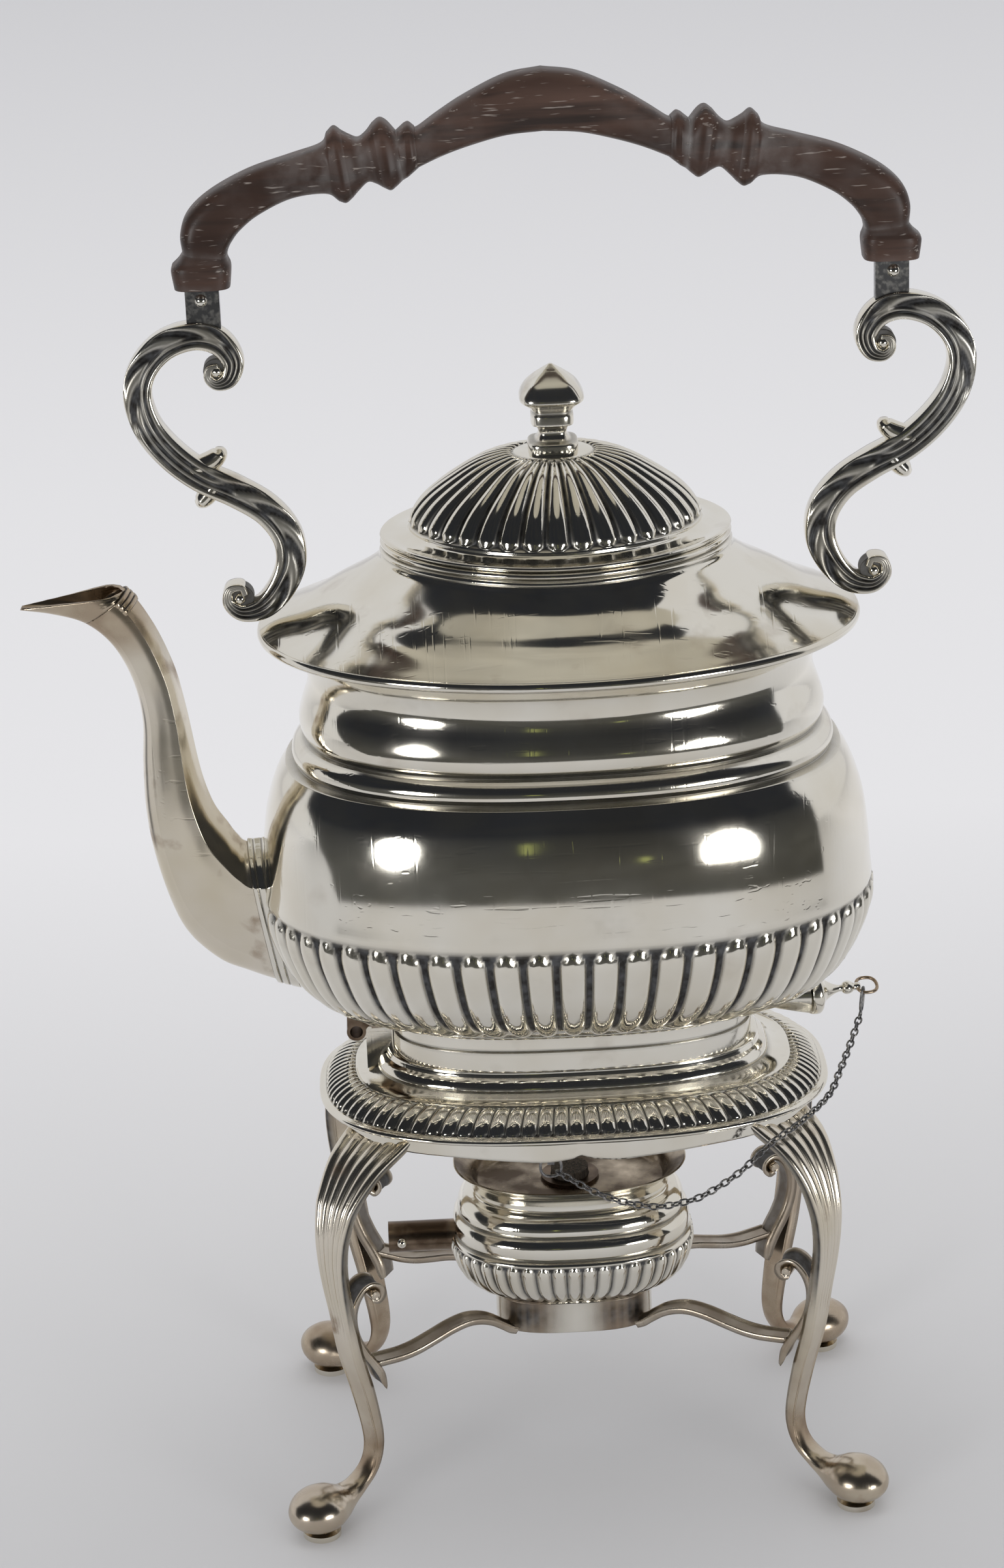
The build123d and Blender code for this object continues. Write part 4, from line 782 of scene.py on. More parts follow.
psi = turns(GRIP_COLUMNS)
reach = (np.abs(np.cos(psi)) ** SQUARENESS + np.abs(np.sin(psi)) ** SQUARENESS) ** (-1 / SQUARENESS)
top, bottom = grip_rows[:, 0:2], grip_rows[:, 2:4]
middle, half = (top + bottom) / 2, (top - bottom) / 2
grip_points = np.stack([middle[:, 0:1] + half[:, 0:1] * (reach * np.cos(psi)),
                        grip_rows[:, 4:5] * (reach * np.sin(psi)),
                        middle[:, 1:2] + half[:, 1:2] * (reach * np.cos(psi))], -1)
width = np.linalg.norm(half, axis=1)
around = np.pad(width, HOLLOW_SPAN // 2, "edge")
mean_width = np.convolve(around, np.ones(HOLLOW_SPAN) / HOLLOW_SPAN, "valid")
hollow = np.clip((mean_width - width) * HOLLOW_GAIN, 0, 1)
edges = ease(0.80, 1.0, np.abs(np.cos(psi) * reach)) * ease(0.80, 1.0, np.abs(np.sin(psi) * reach))
grip = shell(grip_points, np.clip(hollow[:, None] + EDGE_DUST * edges[None], 0, 1))
make_piece("wooden_grip", [grip], "kettle", WOOD, ["handle"])

# %% [markdown]
# ## The brackets
# Each end of the grip stands on a cast S-scroll. Its broad faces are chased: a bright rim on both sides,
# long flowing grooves between them, and leaf strokes on the convex half. Both ends roll up into a volute.
# The leaves could be sculpted one by one. Here the strap's own surface is moved in and out, which keeps it
# one closed piece.

# %% Scroll brackets
BRACKET = [(74.6, 279.6, 0.7), (76.6, 279.0, 0.8), (76.9, 276.9, 1.0), (75.0, 275.4, 1.3), (72.2, 276.6, 1.9),
           (71.2, 280.6, 2.4), (74.2, 285.0, 2.8), (79.8, 286.6, 3.0), (86.5, 284.6, 3.1), (91.4, 279.6, 3.1),
           (93.1, 273.2, 3.1), (91.2, 265.8, 3.2), (86.5, 259.3, 3.3), (80.1, 253.9, 3.3), (72.5, 249.9, 3.3),
           (65.6, 245.2, 3.3), (61.4, 239.2, 3.4), (60.8, 232.8, 3.3), (63.2, 226.9, 3.0), (67.4, 222.4, 2.5),
           (72.4, 221.2, 1.9), (75.6, 223.6, 1.3), (75.2, 226.8, 1.0), (72.6, 227.4, 0.8), (71.6, 225.6, 0.7)]
BRACKET_HALF = 2.8
FACE_COLUMNS = 20
CHASE_DEPTH, GROUND_DARK = 0.85, 0.42
EYES = ((75.0, 278.4, 3.0), (72.9, 224.7, 3.2))
BUDS = [[(82.4, 255.6, 2.2), (79.0, 256.6, 2.4), (76.8, 257.7, 2.3), (75.6, 259.0, 1.9), (75.4, 260.2, 1.0)],
        [(77.0, 251.6, 2.2), (78.6, 249.6, 2.3), (79.9, 248.3, 2.1), (80.9, 247.6, 1.6), (81.6, 247.3, 0.8)]]


def strap_outline(face, edge):
    """Closed outline of a strap's section: front face, edge, back face, edge; both parts run from -1 to 1."""
    x = np.linspace(-1, 1, face)
    y = np.linspace(-1, 1, edge + 2)[1:-1]
    lift = np.concatenate([x, np.ones(edge), x[::-1], -np.ones(edge)])
    side = np.concatenate([np.ones(face), -y, -np.ones(face), y])
    return lift, side


def chased(way, lift):
    """Depth 0..1 of the chasing, from the share of the way along the strap and the place across it, -1 to 1.

    A groove is exp(-((lift - place - sway) / width)^2). Leaf strokes are cos(2 pi (c way - k |lift|^1.2)), so
    that each bends back along the strap like a leaf's edge. The rims, where |lift| > 0.84, stay bright."""
    rim = ease(0.70, 0.84, np.abs(lift))
    sway = 0.10 * np.sin(2 * np.pi * way * 2.5)
    grooves = sum(np.exp(-((lift - place - sway) / 0.11) ** 2) for place in (-0.48, -0.02, 0.44))
    grooves = np.clip(grooves, 0, 1) * (1 - rim)
    upper = ease(0.10, 0.17, way) * (1 - ease(0.36, 0.44, way)) * ease(-0.30, 0.0, lift)
    lower = ease(0.52, 0.60, way) * (1 - ease(0.82, 0.90, way)) * ease(-0.30, 0.0, -lift)
    leafy = upper + lower
    stroke = 0.5 + 0.5 * np.cos(2 * np.pi * (way * 13.0 - 0.8 * np.abs(lift) ** 1.2))
    leaf = (1 - stroke) ** 2.0 * (1 - ease(0.88, 0.99, np.abs(lift)))
    return grooves * (1 - leafy) + leaf * leafy


def scroll_bracket(side_x):
    """One bracket: the strap, its two eyes with their bosses, and two leaf buds."""
    path = smooth(BRACKET, 9)
    way = length_along(path[:, :2])
    way = way / way[-1]
    lift, side = strap_outline(FACE_COLUMNS, 4)
    half = path[:, 2:3]
    depth = chased(way[:, None], lift[None]) * (np.abs(side) > 0.99)[None] * ease(0.7, 2.2, half)
    round_off = 0.35 * np.abs(lift[None]) ** 6 + 0.12 * (1 - np.abs(side[None]))
    across = side[None] * (BRACKET_HALF - CHASE_DEPTH * depth - round_off)
    puff = 1 + 0.07 * (1 - side[None] ** 2)
    points = carried((0, 0, 0), (side_x, 0, 0), (0, 0, 1), path[:, :2], across, lift[None] * half * puff)
    ground = GROUND_DARK * (1 - ease(0.66, 0.84, np.abs(lift)))[None] * (np.abs(side) > 0.99)[None]
    shells = [shell(points, np.clip(ground + depth * 1.3, 0, 1))]
    half_boss = [(-3.2, 0.1), (-3.0, 0.7), (-2.6, 1.1), (-1.6, 1.4)]
    boss = smooth(half_boss + [(-along, radius) for along, radius in half_boss[::-1]], 4)
    for eye_x, eye_z, radius in EYES:
        middle = (side_x * eye_x, 0, eye_z)
        rim = [(-2.0, radius), (2.0, radius)]
        disc = runs([(-2.0, 0.4), rim[0]], rim, [rim[1], (2.0, 0.4)])
        shells.append(shell(turned(disc, middle, (0, 1, 0)), recess=0.9))
        shells.append(shell(turned(boss, middle, (0, 1, 0), 24)))
    psi = turns(20)
    for keys in BUDS:
        bud = smooth(keys, 6)
        bud_side = np.sin(psi)[None] * np.minimum(BRACKET_HALF - 0.3, bud[:, 2:3] * 1.3)
        bud_lift = np.cos(psi)[None] * bud[:, 2:3]
        shells.append(shell(carried((0, 0, 0), (side_x, 0, 0), (0, 0, 1), bud[:, :2], bud_side, bud_lift)))
    return shells


for side_x, word in ((-1, "left"), (1, "right")):
    bracket = scroll_bracket(side_x)
    make_piece("scroll_bracket_" + word, bracket, "kettle", SILVER_CAST, ["bracket_" + word])

# %% [markdown]
# ## The stand
# The stand's top is a cushion-shaped frame: a bead at its edge, a sloping border of small lobes, a valley
# and a raised seat for the kettle's foot. It is one ring-shaped surface, closed on itself both ways. An
# apron with two shallow lobes at the front hangs under it.

# %% Stand top
STAND_N = 2.65
STAND_LOBES = 100
SEAT_Z = 111.0
BORDER_FROM, BORDER_TO = (59.7, 101.3), (52.4, 105.5)
VALLEY_DARK = 0.35
edge_run = [(60.4, 37.7, 99.6), (61.1, 38.4, 99.9), (61.3, 38.6, 100.4), (60.9, 38.2, 100.9),
            (60.2, 37.5, 101.1)]
border_run = [(60.2, 37.5, 101.1), (59.4, 36.7, 101.5), (57.6, 34.9, 103.4), (54.8, 32.1, 105.0),
              (52.4, 29.7, 105.5)]
valley_run = [(52.4, 29.7, 105.5), (51.6, 28.9, 105.0), (49.4, 26.6, 105.2), (47.0, 24.3, 106.4)]
mould_run = [(47.0, 24.3, 106.4), (47.0, 24.3, 107.4), (46.2, 23.6, 108.8), (45.0, 22.6, 109.6)]
seat_run = [(45.0, 22.6, 109.6), (44.6, 22.3, 110.4), (43.8, 21.9, SEAT_Z), (39.0, 18.3, SEAT_Z)]
under_run = [(39.0, 18.3, SEAT_Z), (39.0, 18.3, 109.8), (42.8, 20.9, 109.4), (46.6, 24.0, 105.2),
             (52.0, 29.3, 103.6), (56.6, 33.9, 102.4), (59.2, 36.5, 100.4), (59.4, 36.7, 99.6)]


def with_n(roundness, *groups):
    """Adds one roundness n to levels (a, b, z)."""
    return [[(a, b, roundness, z) for a, b, z in group] for group in groups]


closing = [under_run[-1], edge_run[0]]
parts = with_n(STAND_N, edge_run, border_run, valley_run, mould_run, seat_run, under_run, closing)
stand_levels = runs(*parts, steps=4)[:-1]
border_first, border_last = [int(np.argmin(np.abs(stand_levels[:, 0] - a) + np.abs(stand_levels[:, 3] - z)))
                             for a, z in (BORDER_FROM, BORDER_TO)]
stand_points, stand_recess = lobed(stand_levels, turns(STAND_LOBES * 8), border_first, border_last,
                                   STAND_LOBES, LOBE_TURN, 0.35, 0.55, 0.10)
valley_dark = VALLEY_DARK * seam_line(stand_levels[:, 0:1], 47.1, 0.5) * (stand_levels[:, 3:4] < 107)
stand_shell = shell(stand_points, np.maximum(stand_recess, valley_dark), loop=True)
make_piece("stand_frame", [stand_shell], "stand", SILVER_CHASED, ["stand_top"])

# %% [markdown]
# The apron is a thin strip that hangs from the frame all round. Its lower edge is drawn as a height for every
# direction, and outside and inside are two ovals a sheet's thickness apart.

# %% Apron
APRON_COLUMNS = 720
APRON_TOP = 99.8
half_edge = [(-56, 99.0), (-54, 99.0), (-46, 96.9), (-30, 96.3), (-16, 95.3), (-8.5, 94.8), (-2.5, 95.5)]
lower_edge = smooth(half_edge + [(0, 96.3)] + [(-x, z) for x, z in half_edge[::-1]], 8)
phi = turns(APRON_COLUMNS)
share = np.linspace(0, 1, 8)[:, None]
outer, inner = [oval_rows([(a, b, STAND_N, 0.0)], phi)[0] for a, b in ((60.3, 37.6), (59.0, 36.3))]
low = np.interp(outer[:, 0], lower_edge[:, 0], lower_edge[:, 1])
height = low + (APRON_TOP - low) * share
out_rows, in_rows = [np.stack([oval[:, 0] + 0 * share, oval[:, 1] + 0 * share, height], -1)
                     for oval in (outer, inner)]
apron = shell(np.vstack([out_rows, in_rows[::-1]]), loop=True)
make_piece("stand_band", [apron], "stand", SILVER, ["stand_apron"])

# %% [markdown]
# ## Legs and braces
# A leg is a strap, broad and reeded where it meets the frame, slim at the ankle, and it swells into a foot
# shaped like a drop. Strap and foot could be two pieces, but the real casting has no joint there. So it is
# one surface, whose section starts as a reeded strap and turns into an ellipse.

# %% Legs
LEG_TURN = np.radians(40.0)
FOOT_X, FOOT_Y = 63.6, 39.0
LEAN = {"front_left": 2.6}
LEAN_FROM, LEAN_TO = 84.0, 97.0
LEG = [(-25.2, 99.4, 10.2, 1.35, 0.0), (-20.7, 96.8, 9.8, 1.35, 0.0), (-14.8, 92.4, 8.6, 1.35, 0.0),
       (-10.8, 85.8, 6.8, 1.35, 0.0), (-8.5, 77.9, 5.3, 1.4, 0.0), (-8.0, 71.1, 4.4, 1.4, 0.0),
       (-8.6, 64.0, 3.8, 1.45, 0.0), (-10.0, 55.7, 3.45, 1.5, 0.0), (-12.1, 43.6, 3.4, 1.5, 0.05),
       (-14.8, 33.8, 3.3, 1.5, 0.10), (-17.2, 22.2, 2.85, 1.5, 0.20), (-17.2, 16.2, 2.6, 1.5, 0.35),
       (-15.2, 11.8, 2.7, 1.6, 0.6), (-11.4, 8.9, 3.1, 1.9, 0.8), (-8.0, 7.5, 3.9, 2.8, 0.95),
       (-5.2, 7.0, 5.3, 4.2, 1.0), (-2.2, 7.0, 6.7, 5.3, 1.0), (0.8, 7.0, 7.15, 5.6, 1.0),
       (4.0, 7.0, 6.3, 4.9, 1.0), (6.6, 7.0, 4.3, 3.3, 1.0), (7.9, 7.0, 2.2, 1.7, 1.0),
       (8.25, 7.0, 0.5, 0.4, 1.0)]
LEG_FACE, LEG_BACK = 64, 16
REEDS, REED_HEIGHT, REEDS_END, REEDS_FULL = 6, 0.85, 48.0, 64.0
RIM_AT, RIM_WIDE, RIM_HEIGHT = 0.80, 0.07, 0.28
LEG_TOP = 99.6
# The last of these browns is painted shade, added to the back legs only.
ANKLE_BROWN, SHIN_BROWN, BACK_LEG_PAINTED_SHADE = 0.8, 0.35, 0.35


def leg_grid(side_x, side_y, lean):
    """A leg's shell in the plane that turns LEG_TURN from X: path + side across + lift outwards.

    A reed is sqrt(1 - s^2) across its pitch. The section goes from strap to ellipse by the weight rounded. A
    bent leg's foot stands further out by lean, and the bend fades out towards the frame."""
    path = smooth(LEG, 8)
    path[:, 0] -= lean * np.clip((path[:, 1] - LEAN_FROM) / (LEAN_TO - LEAN_FROM), 0, 1)
    half_width, half_depth, rounded = path[:, 2:3], path[:, 3:4], np.clip(path[:, 4:5], 0, 1)
    face = np.linspace(-1, 1, LEG_FACE)
    back = np.linspace(1, -1, LEG_BACK + 2)[1:-1]
    strap_side = np.concatenate([face, back])
    strap_lift = np.concatenate([np.ones(LEG_FACE), -np.ones(LEG_BACK)])
    angle = np.concatenate([np.linspace(np.pi, 0, LEG_FACE), np.linspace(0, -np.pi, LEG_BACK + 2)[1:-1]])
    reed_at = (strap_side * 0.5 + 0.5) * REEDS % 1.0 * 2 - 1
    reed = np.sqrt(np.clip(1 - reed_at ** 2, 0, 1)) * (strap_lift > 0)
    fade = ease(REEDS_END, REEDS_FULL, path[:, 1:2])
    rim = seam_line(np.abs(strap_side), RIM_AT, RIM_WIDE) * (strap_lift > 0) * (1 - fade) * (1 - rounded)
    side = (strap_side * (1 - rounded) + np.cos(angle) * rounded) * half_width
    lift = (strap_lift * (1 - rounded) + np.sin(angle) * rounded) * half_depth
    lift = lift + (reed - 0.75) * REED_HEIGHT * fade * (strap_lift > 0) + rim * RIM_HEIGHT
    recess = np.clip(1 - reed * 1.9, 0, 1) * fade * (strap_lift > 0)
    along = np.array([side_x * np.cos(LEG_TURN), side_y * np.sin(LEG_TURN), 0.0])
    foot = np.array([side_x * FOOT_X, side_y * FOOT_Y, 0.0]) + lean * along
    points = carried(foot, along, (0, 0, 1), path[:, :2], side, lift)
    points[..., 2] = np.minimum(points[..., 2], LEG_TOP)
    brown = ANKLE_BROWN * seam_line(path[:, 1:2], 15.0,
                                    5.0) + SHIN_BROWN * (1 - ease(30.0, 62.0, path[:, 1:2]))
    # Painted shade: the back legs are made browner all over.
    brown = np.clip(brown + (BACK_LEG_PAINTED_SHADE if side_y > 0 else 0.0), 0, 1)
    return shell(points, recess, stain_and_shade=brown + 0 * recess)


CORNERS = {"front_left": (-1, -1), "front_right": (1, -1), "back_left": (-1, 1), "back_right": (1, 1)}
for word, (side_x, side_y) in CORNERS.items():
    leg = leg_grid(side_x, side_y, LEAN.get(word, 0.0))
    make_piece("cabriole_" + word, [leg], "stand", SILVER_WORN, ["leg_" + word])

# %% [markdown]
# Each brace is a flat bar that was bent into scrolls: an arm from the leg to the ring, and a second scroll
# against the leg with a small boss in its eye. A section is carried along both curves, with its outer face
# hollowed between two thin edges.

# %% Braces
BURNER_X = -1.6
BRACE_FROM, BRACE_TO = (50.5, 28.0), (14.6, 10.5)
ARM = [(1.6, 39.8), (5.0, 39.6), (8.9, 39.5), (12.9, 40.0), (17.4, 41.2), (21.9, 42.5), (26.0, 43.1),
       (29.3, 42.7), (32.6, 41.4), (35.6, 39.3), (37.5, 37.8), (39.2, 37.0)]
SCROLL = [(3.2, 33.4, 0.4), (2.7, 35.0, 0.8), (2.0, 37.4, 1.0), (0.2, 40.8, 1.0), (-1.9, 44.2, 1.0),
          (-3.7, 48.3, 1.0), (-4.5, 52.3, 1.0), (-4.3, 55.8, 1.0), (-3.0, 59.0, 1.0), (-1.0, 61.1, 1.0),
          (1.1, 61.5, 1.0), (2.9, 60.5, 0.9), (3.3, 58.8, 0.8), (2.2, 57.4, 0.6), (0.8, 57.8, 0.5)]
BRACE_EYE = (1.0, 59.3)
ARM_HALF, SCROLL_HALF = 2.4, 3.35
BRACE_FACE, BRACE_BACK = 16, 8
HOLLOW_DEPTH, EDGE_DARK, BACK_DARK, BRACE_BROWN = 0.55, 0.15, 0.7, 0.6


def hollow_strap(origin, along, path, half_depth, half_wide, dark):
    """A strap whose outer face is hollowed between two thin raised edges: lift = half depth - hollow dip."""
    face = np.linspace(1, -1, BRACE_FACE)
    back = np.linspace(-1, 1, BRACE_BACK)[1:-1]
    side = np.concatenate([face, back])
    front = np.concatenate([np.ones(len(face)), -np.ones(len(back))])
    dip = np.where(front > 0, 1 - ease(0.55, 0.85, np.abs(side)), 0)
    lift = (front[None] * half_depth) - dip[None] * HOLLOW_DEPTH * np.minimum(half_depth, 1.0)
    points = carried(origin, along, (0, 0, 1), path, side[None] * half_wide + 0 * half_depth, lift)
    backed = np.where(front > 0, dip, BACK_DARK * (np.abs(side) < 0.7))
    return shell(points, dark * backed[None] + EDGE_DARK + 0 * half_depth, stain_and_shade=BRACE_BROWN)


for word, (side_x, side_y) in CORNERS.items():
    bent = LEAN.get(word, 0.0) * np.array([side_x * np.cos(LEG_TURN), side_y * np.sin(LEG_TURN), 0.0])
    start = np.array([side_x * BRACE_FROM[0], side_y * BRACE_FROM[1], 0.0]) + bent
    end = np.array([BURNER_X + side_x * BRACE_TO[0], side_y * BRACE_TO[1], 0.0])
    reach_mm = np.linalg.norm(end - start)
    along = (end - start) / reach_mm
    arm = smooth(ARM, 6) * [reach_mm / 40.0, 1.0]
    scroll = smooth(SCROLL, 6)
    across = np.cross(along, [0, 0, 1.0])
    boss = smooth([(-3.8, 0.1), (-3.7, 0.7), (-3.3, 1.2), (3.3, 1.2), (3.7, 0.7), (3.8, 0.1)], 4)
    shells = [hollow_strap(start, along, arm, np.full((len(arm), 1), 1.0), ARM_HALF, 0.2),
              hollow_strap(start, along, scroll[:, :2], scroll[:, 2:3], SCROLL_HALF, 0.8),
              shell(turned(boss, start + along * BRACE_EYE[0] + [0, 0, BRACE_EYE[1]], across, 24), stain_and_shade=0.5)]
    make_piece("scroll_brace_" + word, shells, "stand", SILVER_CAST, ["brace_" + word])

# %% [markdown]
# ## The spirit lamp
# The lamp repeats the kettle in small: lobes below, then two convex bands, so the kettle's helpers make it
# too. A flared funnel shields the flame, and its inside is brown from heat. The ring that holds the lamp is
# stained dark where the braces were soldered on.

# %% Lamp
LAMP_LOBES, LAMP_LOBES_FROM, LAMP_LOBES_TO = 50, 45.3, 58.4
LAMP_N = 2.5
LAMP_SEAM_DARK = 0.6
lamp_foot = [(4.0, 3.0, 38.2), (17.3, 11.0, 38.2)]
lamp_side = [(17.3, 11.0, 38.2), (17.3, 11.0, 44.6)]
lamp_belly = [(17.3, 11.0, 44.6), (20.2, 13.4, 45.2), (24.2, 17.0, 47.3), (27.3, 19.8, 50.3),
              (28.9, 21.3, 53.9), (29.6, 22.0, 57.2), (29.3, 21.8, 58.9), (28.3, 20.9, 59.7)]
lamp_band = [(28.3, 20.9, 59.7), (28.9, 21.4, 61.2), (28.8, 21.4, 63.2), (28.0, 20.6, 64.6),
             (27.0, 19.8, 65.3)]
lamp_shoulder = [(27.0, 19.8, 65.3), (27.6, 20.3, 66.6), (27.0, 19.8, 68.4), (25.6, 18.4, 70.0),
                 (24.2, 17.2, 70.6), (23.8, 16.8, 71.0)]
lamp_top = [(23.8, 16.8, 71.0), (4.0, 3.0, 71.0)]
lamp_levels = runs(*with_n(LAMP_N, lamp_foot, lamp_side, lamp_belly, lamp_band, lamp_shoulder, lamp_top),
                   steps=7)
lamp_first = nearest_row(lamp_levels, LAMP_LOBES_FROM, 18.5)
lamp_last = nearest_row(lamp_levels, LAMP_LOBES_TO)
lamp_points, lamp_recess = lobed(lamp_levels, turns(LAMP_LOBES * 8), lamp_first, lamp_last, LAMP_LOBES,
                                 LOBE_TURN, 0.45, 0.55, 0.12, BURNER_X, 0.80)
for seam_z in (59.7, 65.3):
    lamp_recess = np.maximum(lamp_recess, LAMP_SEAM_DARK * seam_line(lamp_levels[:, 3:4], seam_z, 0.3))
make_piece("lamp_bowl", [shell(lamp_points, lamp_recess)], "burner", SILVER_CHASED,
           ["burner_reservoir"])

# %% [markdown]
# The funnel is one thin oval sheet with a flared lip, and a floor with a round hole for the wick's tube. Only
# its inside carries the brown stain, because that is where the flame and its soot were.

# %% Funnel round the flame
funnel_out = [(24.0, 17.0, 71.2), (24.1, 17.1, 72.6), (25.3, 18.2, 75.0), (27.9, 20.7, 77.3),
              (28.4, 21.2, 77.7)]
funnel_in = [(28.0, 20.8, 77.9), (26.6, 19.4, 77.0), (24.3, 17.3, 75.0), (23.2, 16.2, 73.0),
             (22.6, 15.6, 72.2)]
floor_in = [(22.6, 15.6, 72.2), (5.6, 5.6, 72.2)]
hole = [(5.6, 5.6, 72.2), (5.6, 5.6, 71.2)]
floor_out = [(5.6, 5.6, 71.2), (24.0, 17.0, 71.2)]
groups = [[(a, b, 2.3 if a > 6 else 2.0, z) for a, b, z in g]
          for g in (funnel_out, [funnel_out[-1], funnel_in[0]], funnel_in, floor_in, hole, floor_out)]
funnel_levels = runs(*groups, steps=6)[:-1]
inside = np.arange(len(funnel_levels)) > len(smooth(funnel_out, 6)) + 2
funnel = shell(oval_rows(funnel_levels, turns(160), BURNER_X), stain_and_shade=inside[:, None].astype(float), loop=True)
make_piece("flame_funnel", [funnel], "burner_cover", SILVER_FLAMED, ["burner_funnel"])

# %% [markdown]
# A plain band with a slightly thicker upper edge. The stain is strongest at the four solder joints, so it
# depends on the direction from the middle.

# %% Ring of the stand that holds the lamp
RING_N = 3.0
JOINT_INWARD, JOINT_SPREAD, JOINT_Z, JOINT_HIGH, JOINT_BROWN = 0.72, 0.30, 40.3, 5.0, 0.9
ring_out = [(19.0, 12.5, 36.0), (19.2, 12.7, 36.4), (19.2, 12.7, 43.2), (19.5, 13.0, 43.8),
            (19.2, 12.7, 44.3)]
ring_in = [(17.9, 11.4, 44.2), (17.9, 11.4, 36.2)]
ring_top, ring_bottom = [ring_out[-1], ring_in[0]], [ring_in[-1], ring_out[0]]
ring_levels = runs(*with_n(RING_N, ring_out, ring_top, ring_in, ring_bottom), steps=6)[:-1]
phi = turns(200)
joint_turns = np.array([np.arctan2(sy, sx * JOINT_INWARD) for sx, sy in CORNERS.values()])
gap_turn = np.abs((phi[None] - joint_turns[:, None] + np.pi) % (2 * np.pi) - np.pi).min(0)
patch = np.clip(1.5 * seam_line(gap_turn, 0.0, JOINT_SPREAD), 0, 1)
spotted = 0.75 + 0.25 * np.sin(phi * 37) * np.sin(phi * 23 + 1)
ring_recess = spotted * patch[None] * seam_line(ring_levels[:, 3:4], JOINT_Z, JOINT_HIGH)
ring = shell(oval_rows(ring_levels, phi, BURNER_X), ring_recess, JOINT_BROWN * patch[None], loop=True)
make_piece("lamp_ring", [ring], "stand", SILVER_CAST, ["burner_ring"])

# %% [markdown]
# ## The lock pin and its chain
# A turned pin is pushed into the socket under the kettle, so that the kettle can't tip until it is drawn
# out. Its chain hangs in a shallow curve from a ring behind the apron. One link is a small closed loop of
# wire, and every link is the same loop, moved along the route and turned a quarter from the last. The real
# chain was left hanging, so its route is a list of points that were read off the photograph.

# %% Lock pin
PIN_TURN = np.radians(10.0)
PIN_AXIS = np.array([np.cos(PIN_TURN), np.sin(PIN_TURN), 0.0])
PIN_ORIGIN = np.array([40.6, 0.0, 116.9])
shank = [(-2.4, 0.3), (-2.2, 1.3), (-1.6, 1.55), (17.0, 1.55)]
collar = [(17.0, 1.55), (17.0, 4.7), (17.3, 5.3), (18.2, 5.5), (19.2, 5.5), (19.9, 5.0), (20.4, 3.9)]
trumpet = [(20.4, 3.9), (21.0, 2.9), (22.0, 2.1), (23.2, 1.4), (24.7, 0.85), (25.6, 0.85)]
ball = [(25.6, 0.85), (26.0, 1.35), (27.0, 1.65), (28.0, 1.35), (28.5, 0.95), (29.4, 0.95), (30.1, 0.8),
        (30.3, 0.3)]
pin = shell(turned(runs(shank, collar, trumpet, ball, steps=5), PIN_ORIGIN, PIN_AXIS, 56))
make_piece("lock_pin_turned", [pin], "lock", SILVER_CAST, ["lock_pin"])


LINK_N = 2.4


def wire_loop(centre, u_dir, v_dir, half_long, half_wide, wire, columns=10, rows=28):
    """A closed round wire along the oval |u/half_long|^n + |v/half_wide|^n = 1, with n = LINK_N."""
    t = np.linspace(0, 2 * np.pi, rows, endpoint=False)[:, None]
    u_dir, v_dir = np.array(u_dir, float), np.array(v_dir, float)
    c, s = np.cos(t), np.sin(t)
    reach = (np.abs(c) ** LINK_N + np.abs(s) ** LINK_N) ** (-1 / LINK_N)
    line = half_long * c * reach * u_dir + half_wide * s * reach * v_dir
    step = np.roll(line, -1, 0) - np.roll(line, 1, 0)
    step = step / np.linalg.norm(step, axis=1, keepdims=True)
    normal = np.cross(u_dir, v_dir)
    side = np.cross(step, normal)
    psi = turns(columns)[None, :, None]
    round_wire = wire * (np.cos(psi) * side[:, None] + np.sin(psi) * normal)
    return np.array(centre, float) + line[:, None] + round_wire


RING_TILT = np.radians(22.0)
RING_AT = 31.85
across = np.cross([0, 0, 1.0], PIN_AXIS)
ring_side = np.cos(RING_TILT) * across + np.sin(RING_TILT) * np.array([0, 0, 1.0])
pin_ring = wire_loop(PIN_ORIGIN + RING_AT * PIN_AXIS, PIN_AXIS, ring_side, 2.5, 2.5, 0.42, 12, 40)
make_piece("pin_ring_wire", [shell(pin_ring, stain_and_shade=1.0, loop=True)], "lock", SILVER_CAST,
           ["pin_ring"])

# %% [markdown]
# When the pin is pulled, one end of the chain moves and the other stays. Here the links are one piece that
# rides on no body, set where the chain hangs at rest.

# %% Chain
ROUTE = [(-5.9, -35.25, 91.35), (-1.1, -36.6, 88.6), (4.1, -37.6, 85.9), (10.1, -38.3, 83.8),
         (16.7, -38.9, 82.7), (22.7, -39.2, 83.5), (28.3, -39.2, 85.3), (36.7, -38.8, 90.6),
         (44.2, -37.2, 96.9), (52.2, -31.4, 99.5), (59.7, -20.6, 100.6), (63.4, -12.6, 103.3),
         (66.0, -6.6, 105.6), (68.4, -1.4, 108.4), (70.3, 3.0, 110.9)]
LINK_PITCH = 1.8
LINK_LONG, LINK_WIDE, LINK_WIRE = 1.125, 0.75, 0.25
LOOK_AHEAD = 0.3
END_LINK, END_ALONG, END_FACING = (70.6, 3.25, 114.25), (0.09, 0.06, 1.0), (-0.39, -0.92, 0.0)
END_LONG, END_WIDE, END_WIRE = 3.0, 1.0, 0.36


def unit(vector):
    """A vector of length 1."""
    return np.array(vector, float) / np.linalg.norm(vector)


